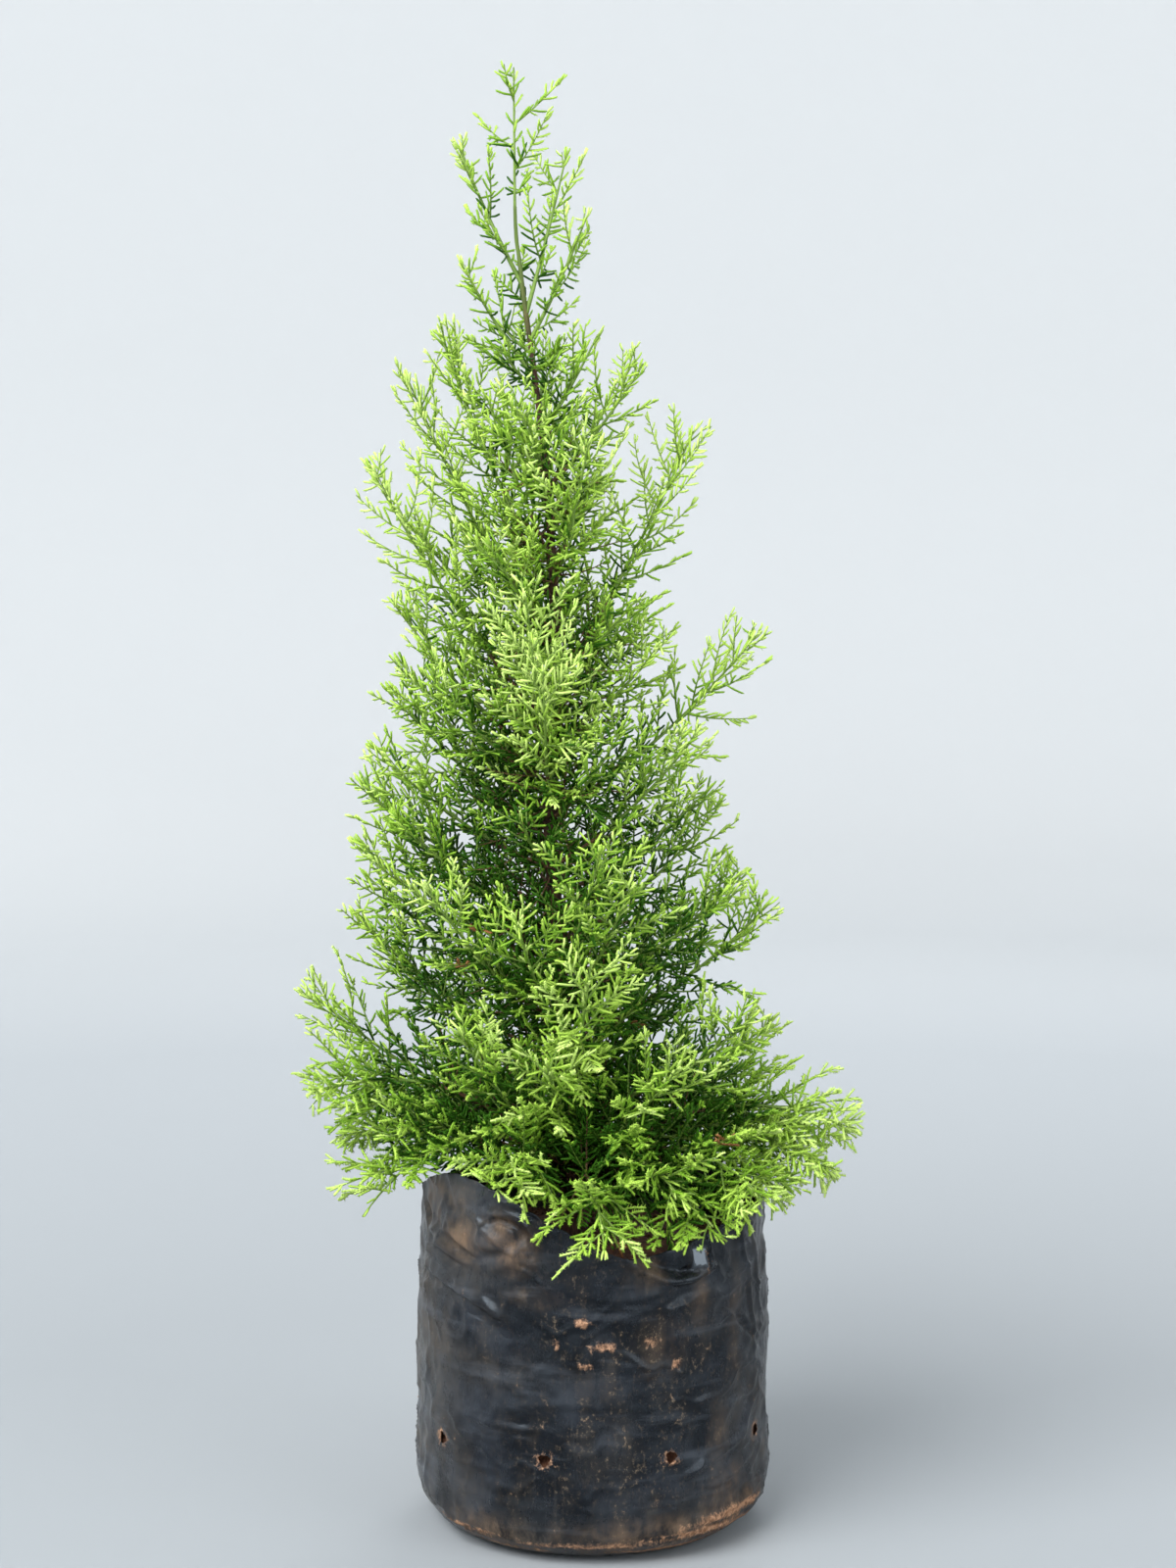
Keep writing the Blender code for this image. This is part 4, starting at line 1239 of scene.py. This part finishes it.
def fillPlumes(plumes, rng):
    # Plumes without a solid of their own, each counted with the plume that it grows beside.
    rows = []
    count = int((fill["to"] - fill["from"]) / fill["spacing"])
    for number, height in enumerate(np.linspace(fill["from"], fill["to"], count)):
        degrees = (fill["turn"] + twigs["goldenAngle"] * number) % 360
        share = fill["reach"][number % 2] * rng.uniform(*fill["reachJitter"])
        lost, where, heights = fill["openRight"]
        share *= 1 - lost * bell(degrees, *where) * smoothStep(height, *heights)
        lost, heights = fill["openTop"]
        share *= 1 - lost * smoothStep(height, *heights)
        reach = share * crownRadius(height + 0.5 * share * crownRadius(height)) / mm
        foot = height / mm
        rows.append((foot, degrees, reach, foot + fill["rise"] * reach, fill["arch"] * reach, fill["level"]))
    marks = np.concatenate([plume.marks for plume in plumes])
    for row in (*rows, *fill["rows"]):
        plume = plumeFrom("fill", *row)
        closest = np.linalg.norm(marks - blend(plume.foot, plume.tip, 0.7), axis=1).argmin()
        plume.number = int(closest) // (crown["samples"] + 1)
        yield plume


def nearest(points, marks):
    squares = (points**2).sum(axis=1)[:, None] + (marks**2).sum(axis=1)[None] - 2 * points @ marks.T
    return np.sqrt(np.maximum(squares.min(axis=1), 0))


def clearOfLimbs(points, slack=0.0):
    # Off the trunk, the film, the rim and the soil. With slack, things may hang that much lower.
    height, degrees, margin = points[:, 2], degreesOf(points), crown["rimMargin"]
    offTrunk = (height > trunkTop) | (fromTrunk(points) > trunkRadius(height) + crown["trunkMargin"])
    out = np.linalg.norm(points[:, :2], axis=1)
    outside = (out > bag["radius"] + margin) | (height > rimHeight(degrees) + margin)
    overSoil = (out < bag["neckRadius"] - margin) & (height > soil["top"] + crown["soilMargin"])
    lowest = np.interp(degrees, *zip(*crown["lowest"])) * mm
    hangs = (out > bag["neckRadius"] - margin) & (height < lowest - slack)
    return offTrunk & (outside | overSoil) & ~hangs


def ownSpace(plume, plumes, points, overlap, slack=0.0):
    within = (points - plume.tip) @ plume.along(1.0)[0] < crown["tipMargin"]
    if plume.isLeader:
        within &= points[:, 2] < plume.tip[2] + crown["leaderMargin"]
    else:
        within &= (points - plume.foot) @ plume.outward < plume.reach + crown["reachMargin"]
    if plumes:
        other = nearest(points, np.concatenate([rival.marks for rival in plumes if rival is not plume]))
        within &= nearest(points, plume.marks) < other + overlap
    return clearOfLimbs(points, slack) & within


class Sprays:
    # Everything that is grown so far: shoots with their tints, and the lines of twigs and stems.
    def __init__(self):
        self.shoots = {name: [] for name in ("root", "along", "forward", "length", "tint", "plume")}
        self.lines = []

    def addShoots(self, plume, fits, foot, way, onwards, reach, tint):
        forward, owner = squareTo(way, onwards), np.full(len(fits), plume.number)
        for column, values in zip(self.shoots.values(), (foot, way, forward, reach, tint.astype(int), owner)):
            column.append(values[fits])

    def addLine(self, points, radii, isWoody, plume):
        self.lines.append((points, radii, bool(isWoody), plume.number))

    def joined(self):
        return {name: np.concatenate(parts) for name, parts in self.shoots.items()}


def twigJitter(count, rng):
    return {
        "lean": rng.uniform(-twigs["leanJitter"], twigs["leanJitter"], count),
        "swing": np.radians(rng.uniform(-twigs["swing"], twigs["swing"], count)),
        "curl": twigs["curl"] * rng.uniform(*twigs["curlJitter"], count),
        "length": rng.uniform(*twigs["lengthJitter"], count),
    }


def plumeTwigs(plume, past, turn, size, jitter):
    # The line and the flat side of each twig that leans out from a plume's stem.
    share = plume.leafyFrom + (1 - plume.leafyFrom) * past
    lift, (onwards, upwards) = (twigs[name] for name in plume.sweeps)
    least, gain, start, rest = twigs["fullness"]
    fullness = least + gain * np.sin(np.pi * (start + rest * past))
    length = size * fullness * (twigs["length"] + twigs["lengthShare"] * plume.length) * jitter["length"]
    stem = plume.along(share)
    radial = spokesRound(stem, turn)
    lean = blend(*twigs["lean"], past) + jitter["lean"]
    along = leaning(stem, radial, lean, lift * up)
    flat = unit(np.cross(along, unit(up + radial)))
    swing = jitter["swing"][:, None]
    side = np.cos(swing) * flat + np.sin(swing) * np.cross(flat, along)
    curl = squareTo(along, onwards * stem + upwards * up) * jitter["curl"][:, None]
    return plume.at(share), along, side, curl, np.minimum(length, twigs["longest"])


def onTwig(twig, t):
    root, along, _, curl, length = twig
    t = np.atleast_1d(t)
    reach = length[:, None, None] * t[None, :, None]
    return root[:, None] + along[:, None] * reach + curl[:, None] * reach * t[None, :, None]


def growTwigs(plume, plumes, rng):
    # Each twig takes the first size and turn that keep it in its plume's space.
    spacing = twigs["topSpacing" if plume.isHigh else "lowSpacing" if plume.isLow else "spacing"]
    count = max(twigs["fewest"], round(plume.length * (1 - plume.leafyFrom) / spacing))
    past = (np.arange(count) + 0.55) / (count + 0.1)
    turn = np.radians(rng.uniform(0, 360) + twigs["goldenAngle"] * np.arange(count))
    turn += np.radians(rng.uniform(-twigs["turnJitter"], twigs["turnJitter"], count))
    jitter = twigJitter(count, rng)
    sizes, turns = np.zeros(count), turn.copy()
    for size, offset in ((size, offset) for size in twigs["sizes"] for offset in twigs["turns"]):
        trial = plumeTwigs(plume, past, turn + math.radians(offset), np.full(count, size), jitter)
        ribs = onTwig(trial, twigs["ribMarks"])
        wing = trial[2][:, None] * (twigs["wing"] * trial[4])[:, None, None]
        marks = np.concatenate((ribs, ribs[:, :2] + wing, ribs[:, :2] - wing), axis=1)
        fits = ownSpace(plume, plumes, marks.reshape(-1, 3), crown["overlap"]).reshape(count, -1).all(axis=1)
        taken = (sizes == 0) & fits
        sizes[taken] = size
        turns[taken] = turn[taken] + math.radians(offset)
        if sizes.all():
            break
    kept = sizes > 0
    jitter = {name: values[kept] for name, values in jitter.items()}
    return past[kept], plumeTwigs(plume, past[kept], turns[kept], sizes[kept], jitter)


def twigLevels(plume, past, middle, rng):
    # Partly the plant's own colour and partly painted light and shade.
    height = middle[:, 2]
    out = fromTrunk(middle) / crownRadius(height)
    (outGain, outStart), (plumeGain, plumeStart) = light["outward"], light["alongPlume"]
    level = outGain * (out - outStart) + plumeGain * (past - plumeStart) + plume.level
    level += rng.normal(0, light["scatter"], len(past))
    gain, most, *levels = light["upperCrown"]
    level += gain * (most - out) * smoothStep(height, *levels)
    gain, *levels = light["leader"]
    level -= gain * smoothStep(height, *levels)
    gain, middlePast, *levels = light["lowTips"]
    level += gain * (past - middlePast) * smoothStep(height, *levels)
    # Painted shade inside the crown low down, with less of it in front
    gain, edge, inside, *levels = light["lowInsideShade"]
    frontShare, *front = light["front"]
    gain *= 1 - frontShare * bell(plume.degrees or 0, *front)
    return level - gain * smoothStep(out, edge, inside) * smoothStep(height, *levels)


def growPlume(plume, plumes, sprays, rng):
    past, grown = growTwigs(plume, plumes, rng)
    middle = onTwig(grown, 0.6)[:, 0]
    levels = twigLevels(plume, past, middle, rng)
    radii = np.linspace(twigs["radius"], twigs["tipRadius"], twigs["points"])
    for line, share in zip(onTwig(grown, np.linspace(0, twigs["rodEnd"], twigs["points"])), past):
        sprays.addLine(line, radii, share < twigs["woodyShare"] and not plume.isHigh, plume)
    for number, level in enumerate(levels):
        twig = tuple(part[number : number + 1] for part in grown)
        growShoots(plume, plumes, twig, middle[number, 2], level, sprays, rng)
    growStem(plume, plumes, sprays, rng)


def growShoots(plume, plumes, twig, height, level, sprays, rng):
    # Shoots stand on both flat sides of a twig, every few millimetres, and some stand off it.
    _, along, side, curl, (length,) = twig
    comb = 1 - smoothStep(height, shoots["combTo"], shoots["combFrom"])
    spacing = blend(shoots["spacing"], shoots["combSpacing"], comb)
    spacing = blend(spacing, shoots["topSpacing"], smoothStep(height, *shoots["topHeights"]))
    steps = np.arange(shoots["from"], length - shoots["to"], spacing / 2)
    steps = steps + rng.uniform(-shoots["spacingJitter"], shoots["spacingJitter"], len(steps)) * mm
    t = np.append(steps / length, shoots["endShare"])
    count = len(t)
    tangent = unit(along + 2 * t[:, None] * curl)
    normal = unit(np.cross(side, tangent))
    flat = np.cross(tangent, normal) * np.where(np.arange(count) % 2, 1.0, -1.0)[:, None]
    tilt = rng.normal(0, shoots["offFlat"], count)
    stands = rng.uniform(size=count) < shoots["standingShare"]
    tilt += np.where(stands, rng.choice((-shoots["standing"], shoots["standing"]), count), 0)
    lean = blend(*shoots["lean"], t) + rng.uniform(-shoots["leanJitter"], shoots["leanJitter"], count)
    lean[-1] = shoots["endLean"]
    spread = np.cos(tilt)[:, None] * flat + np.sin(tilt)[:, None] * normal
    way = leaning(tangent, spread, lean)
    isComb = (rng.uniform(size=count) < comb) & (level > shoots["combLevel"])
    reach = np.where(isComb, combNeedles["length"], slimNeedles["length"])
    least, gain, start, lost = shoots["fullness"]
    reach = reach * (least + gain * np.sin(np.pi * np.minimum(1, start + t))) * (1 - lost * t**2)
    reach *= rng.uniform(*shoots["lengthJitter"], count)
    reach = np.minimum(reach, shoots["twigShare"] * length + 3 * mm)
    foot = onTwig(twig, t)[0]
    gain, centre, scatter = light["shoots"]
    tint = np.clip(np.round(level + gain * (t - centre) + rng.normal(0, scatter, count)), 0, 3)
    if rng.uniform() < shoots["deadShare"] and level < shoots["deadLevel"] and height < shoots["deadTop"]:
        tint = rng.choice((4, 5), count)
    for right, rise, width in shoots["deadSpots"]:
        apart = np.hypot(foot[:, 0] - right * mm, foot[:, 2] - rise * mm)
        tint = np.where((apart < width * mm) & (foot[:, 1] < shoots["deadFront"]), 5, tint)
    tips = foot + way * reach[:, None]
    fits = clearOfLimbs(blend(foot, tips, 0.5), shoots["slack"])
    fits &= ownSpace(plume, plumes, tips, crown["shootOverlap"], shoots["slack"])
    reach = np.where(isComb, -reach, reach)
    sprays.addShoots(plume, fits, foot, way, tangent, reach, tint)


def growStem(plume, plumes, sprays, rng):
    # The stem itself, woody and then green, its end shoot, and short shoots between its twigs.
    start, leaderStart = crown["sunkStart"]
    first = plume.leafyFrom if plume.hasBough else start
    lineStart = leaderStart if plume.isLeader else first
    line = plume.at(np.linspace(lineStart, crown["stemEnd"], crown["stemPoints"]))
    thickest = trunk["tipRadius"] if plume.isLeader else crown["stemRadius"]
    radii = np.linspace(thickest, crown["stemTipRadius"], crown["stemPoints"])
    turnsGreen = 0 if plume.isHigh else crown["stemPoints"] // 3
    if turnsGreen:
        sprays.addLine(line[: turnsGreen + 1], radii[: turnsGreen + 1], True, plume)
    sprays.addLine(line[turnsGreen:], radii[turnsGreen:], False, plume)
    spacing = shoots["openStemSpacing" if plume.isHigh and not plume.isLeader else "stemSpacing"]
    count = int(plume.length * (1 - first) / spacing)
    ends, endLeans = zip(*shoots["stemEnds"])
    low, high = crown["stemShoots"]
    t = np.append(blend(max(first, low), high, (np.arange(count) + 0.5) / count), ends)
    root, tangent = plume.at(t), plume.along(t)
    turn = np.radians(rng.uniform(0, 360) + shoots["stemTurn"] * np.arange(len(t)))
    jitter = shoots["stemLeanJitter"]
    lean = blend(*shoots["stemLean"], t) + rng.uniform(-jitter, jitter, len(t))
    lean[-len(ends):] = endLeans
    way = leaning(tangent, spokesRound(tangent, turn), lean)
    reach = slimNeedles["length"] * rng.uniform(*shoots["stemLengthJitter"], len(t))
    gain, scatter = light["stems"]
    tint = np.clip(np.round(gain * t + plume.level + rng.normal(0, scatter, len(t))), 0, 3)
    fits = ownSpace(plume, plumes, root + way * reach[:, None], crown["overlap"], shoots["slack"])
    sprays.addShoots(plume, fits, root, way, tangent, reach, tint)


def shootShape(rng, kind):
    # One shoot that stands up +Z and bends towards +X: a three-sided rib, pointed at its tip, with
    # small pointed needles all round it. On a comb they spread flat to both sides.
    length, isComb = kind["length"], kind is combNeedles
    bend = rng.uniform(*shootForm["bend"])
    shares, widths = np.array(shootForm["ribRings"]), np.array(shootForm["ribWidths"]) * kind["rib"]
    middles = np.stack((bend * length * shares**2, 0 * shares, length * shares), axis=-1)
    ring = directionOf(np.array((90, 210, 330)) + math.degrees(rng.uniform(0, 1)))
    points = [*np.concatenate([middle + ring * width for middle, width in zip(middles, widths)])]
    points.append(np.array((bend * length, 0, length)))
    faces = []
    for a, b in ((row + i, row + (i + 1) % 3) for row in (0, 3) for i in range(3)):
        faces += [(a, b, b + 3), (a, b + 3, a + 3)]
    faces += [(2, 1, 0), (6, 7, 9), (7, 8, 9), (8, 6, 9)]
    for number in range(kind["count"]):
        share = blend(*shootForm["needlesBetween"], (number + 0.3) / kind["count"])
        if isComb:
            turn = (0.0 if number % 2 else math.pi) + (math.pi / 2 if number % 5 == 4 else 0)
        else:
            turn = number * math.pi / 2
        out = directionOf(math.degrees(turn + rng.normal(0, kind["turnJitter"])))
        low, high, *spread = kind["reach"]
        reach = blend(low, high, share) * rng.uniform(*spread)
        lean = math.radians(rng.uniform(*kind["lean"]))
        foot = np.array((bend * length * share**2, 0, length * share)) - out * shootForm["sunk"]
        side = np.cross(out, up) * kind["halfWidth"]
        tip = foot + (out * math.sin(lean) + up * math.cos(lean)) * reach
        a, b, c, d = range(len(points), len(points) + 4)
        points += [foot + side, foot - side, foot + up * shootForm["needleFoot"], tip]
        faces += [(a, c, b), (a, b, d), (b, c, d), (c, a, d)]
    return np.array(points), faces


def makeNeedles(plumes, sprays):
    # Every shoot becomes one of a few shapes, and those of one tint are joined into pieces.
    rng = np.random.default_rng(crown["seed"] + 1)
    shapes = [shootShape(rng, kind) for kind in needleKinds for _ in range(shoots["kinds"])]
    faceCounts = np.array([len(faces) for _, faces in shapes])
    group = makeCollection("shoot", shapes)
    tree = scatterTree("needleScatter")
    data = sprays.joined()
    isComb = data["length"] < 0
    kinds = rng.integers(0, shoots["kinds"], len(isComb))
    kinds += np.where(isComb, 2, np.where(data["tint"] > 0, 1, 0)) * shoots["kinds"]
    nominal = np.where(isComb, combNeedles["length"], slimNeedles["length"])
    girth = rng.uniform(0.9, 1.15, len(isComb))
    sizes = np.stack((girth, girth, np.abs(data["length"]) / nominal), axis=-1)
    turns = eulerOf(data["forward"], np.cross(data["along"], data["forward"]), data["along"])
    print(f"{len(kinds)} shoots, {faceCounts[kinds].sum()} faces")
    for number, tint in enumerate(needleTints):
        members = np.flatnonzero(data["tint"] == number)
        members = members[np.argsort(data["root"][members, 2])]
        load = np.cumsum(faceCounts[kinds[members]])
        parts = max(1, math.ceil(load[-1] / shoots["mostFaces"]))
        material = needleMaterial(tint)
        for part in range(parts):
            chosen = members[(load > load[-1] * part / parts) & (load <= load[-1] * (part + 1) / parts)]
            name = f"{tint}Needles" + (str(part + 1) if parts > 1 else "")
            columns = (column[chosen] for column in (data["root"], turns, sizes, kinds))
            piece = scatter(name, tree, *columns, group, material)
            keepPiece(piece, "needles", foliageNodes(plumes, data["plume"][chosen]))
    dropCollection(group)


def eulerOf(x, y, z):
    # The XYZ turns of frames whose axes are these.
    tilt = -np.arcsin(np.clip(x[:, 2], -1, 1))
    return np.stack((np.arctan2(y[:, 2], z[:, 2]), tilt, np.arctan2(x[:, 1], x[:, 0])), axis=-1)


def foliageNodes(plumes, owners):
    return [f"foliage_{plumes[owner].name}" for owner in sorted(set(owners))]


def twigTree():
    # A round tapering rod along each line of edges, as thick as the line's points say.
    tree, given = startTree("twigRods", {"Sides": "Int", "Thickness": "Float"})
    lines = addNode(tree, "GeometryNodeMeshToCurve", {"Mesh": given["Geometry"]})
    thickness = {0: readAttribute(tree, "thickness", "FLOAT"), 1: given["Thickness"]}
    girth = addNode(tree, "ShaderNodeMath", thickness, operation="MULTIPLY")
    sized = addNode(tree, "GeometryNodeSetCurveRadius", {"Curve": lines, "Radius": girth})
    ring = addNode(tree, "GeometryNodeCurvePrimitiveCircle", {"Resolution": given["Sides"], "Radius": 1.0})
    rods = addNode(tree, "GeometryNodeCurveToMesh", {"Curve": sized, "Profile Curve": ring, "Fill Caps": True})
    if "Scale" in rods.inputs:
        feed(tree, rods, {"Scale": girth})
    smooth = addNode(tree, "GeometryNodeSetShadeSmooth", {"Geometry": rods})
    return endTree(tree, smooth, given["Material"])


def makeTwigs(plumes, sprays):
    tree = twigTree()
    for name, wantsWoody, slot in (("woodyTwigs", True, "bark"), ("greenTwigs", False, "needles")):
        lines = [row for row in sprays.lines if row[2] == wantsWoody]
        points = np.concatenate([row[0] for row in lines])
        starts = set(np.cumsum([len(row[0]) for row in lines]))
        edges = [(i, i + 1) for i in range(len(points) - 1) if i + 1 not in starts]
        rods = makeObject(name, points, [], edges)
        setAttribute(rods.data, "thickness", "FLOAT", np.concatenate([row[1] for row in lines]))
        growTree(rods, tree, {"Sides": twigs["sides"], "Thickness": 1.0, "Material": twigMaterial(name)})
        keepPiece(rods, slot, foliageNodes(plumes, [row[3] for row in lines]))


def makeCrown(plumes):
    rng = np.random.default_rng(crown["seed"])
    sprays = Sprays()
    for plume in plumes:
        growPlume(plume, plumes, sprays, rng)
    for plume in fillPlumes(plumes, rng):
        growPlume(plume, None, sprays, rng)
    tell("crown grown")
    makeTwigs(plumes, sprays)
    makeNeedles(plumes, sprays)


# The stage: a pale bowl of a floor, soft lights and the camera

stage = {
    "floorRadius": 2.4,
    "bowlRadius": 0.9,
    "bowlHeight": 2.6,
    "floorSides": 96,
    "floorRings": (0.02, 0.3, 1.0),  # shares of its radius
    # The floor's colour by its distance, in shares of four metres: paler far off and up its bowl
    "colours": (
        (0.10, (0.300, 0.322, 0.340)), (0.35, (0.39, 0.415, 0.435)), (0.60, (0.57, 0.593, 0.607)),
        (0.72, (0.605, 0.622, 0.631)), (0.95, (0.62, 0.637, 0.646)),
    ),
    "sky": (0.90, 0.95, 1.0),
    "skyStrength": 0.70,
    # Place, what it points at, width and watts
    "lights": {
        "keyLight": ((-1.9, -2.2, 2.5), (0, 0, 0.35), 2.8, 304),
        "fillLight": ((1.5, -1.2, 0.9), (0, 0, 0.30), 1.2, 12),
        "backLight": ((0.4, 1.7, 1.6), (0, 0, 0.40), 1.0, 14),
    },
    "camera": (-0.002, -1.15, 0.404),
    "cameraTilt": 87,
    "lens": 56.6,
}


def makeStage():
    radius, bowl, count = stage["floorRadius"], stage["bowlRadius"], stage["floorSides"]
    bend = np.radians(np.arange(10, 95, 10))
    outs = [*(radius * np.array(stage["floorRings"])), *(radius + bowl * np.sin(bend)), radius + bowl]
    heights = [0, 0, 0, *(bowl * (1 - np.cos(bend))), stage["bowlHeight"]]
    around = directionOf(np.arange(count) * 360 / count)
    rings = [around * out + up * height for out, height in zip(outs, heights)]
    points = [np.zeros(3), *np.concatenate(rings)]
    turns = [(1 + i, 1 + (i + 1) % count) for i in range(count)]
    faces = [(0, i, j) for i, j in turns]
    for row in range(0, (len(outs) - 1) * count, count):
        faces += [(row + i, row + i + count, row + j + count, row + j) for i, j in turns]
    floor = makeObject("paleFloor", points, faces)
    paint = Paint("palePaint")
    away = addNode(paint.tree, "ShaderNodeVectorMath", {0: paint.place}, operation="LENGTH").outputs["Value"]
    colour = paint.ramp(paint.math("DIVIDE", away, 4.0), *stage["colours"])
    floor.data.materials.append(paint.finish(colour, 0.9))


def placeInScene(name, data, place, turn):
    thing = bpy.data.objects.new(name, data)
    thing.location = place
    thing.rotation_euler = turn
    bpy.context.scene.collection.objects.link(thing)
    return thing


def makeLights():
    world = bpy.data.worlds.new("softSky")
    world.use_nodes = True
    sky = world.node_tree.nodes.get("Background") or addNode(world.node_tree, "ShaderNodeBackground")
    feed(world.node_tree, sky, {"Color": stage["sky"], "Strength": stage["skyStrength"]})
    bpy.context.scene.world = world
    for name, (place, target, width, watts) in stage["lights"].items():
        lamp = bpy.data.lights.new(name, "AREA")
        lamp.size = width
        lamp.energy = watts
        placeInScene(name, lamp, place, (Vector(target) - Vector(place)).to_track_quat("-Z", "Y").to_euler())


def makeCamera():
    camera = bpy.data.cameras.new("camera")
    camera.lens = stage["lens"]
    camera.sensor_width = 36
    scene = bpy.context.scene
    scene.camera = placeInScene("camera", camera, stage["camera"], (math.radians(stage["cameraTilt"]), 0, 0))
    scene.view_settings.view_transform = "Standard"


def main():
    makeStage()
    makeLights()
    makeCamera()
    plumes = allPlumes()
    makeBag()
    makeSoil()
    bark = barkMaterial()
    makeTrunk(plumes, bark)
    makeBoughs(plumes, bark)
    makeCrown(plumes)


main()
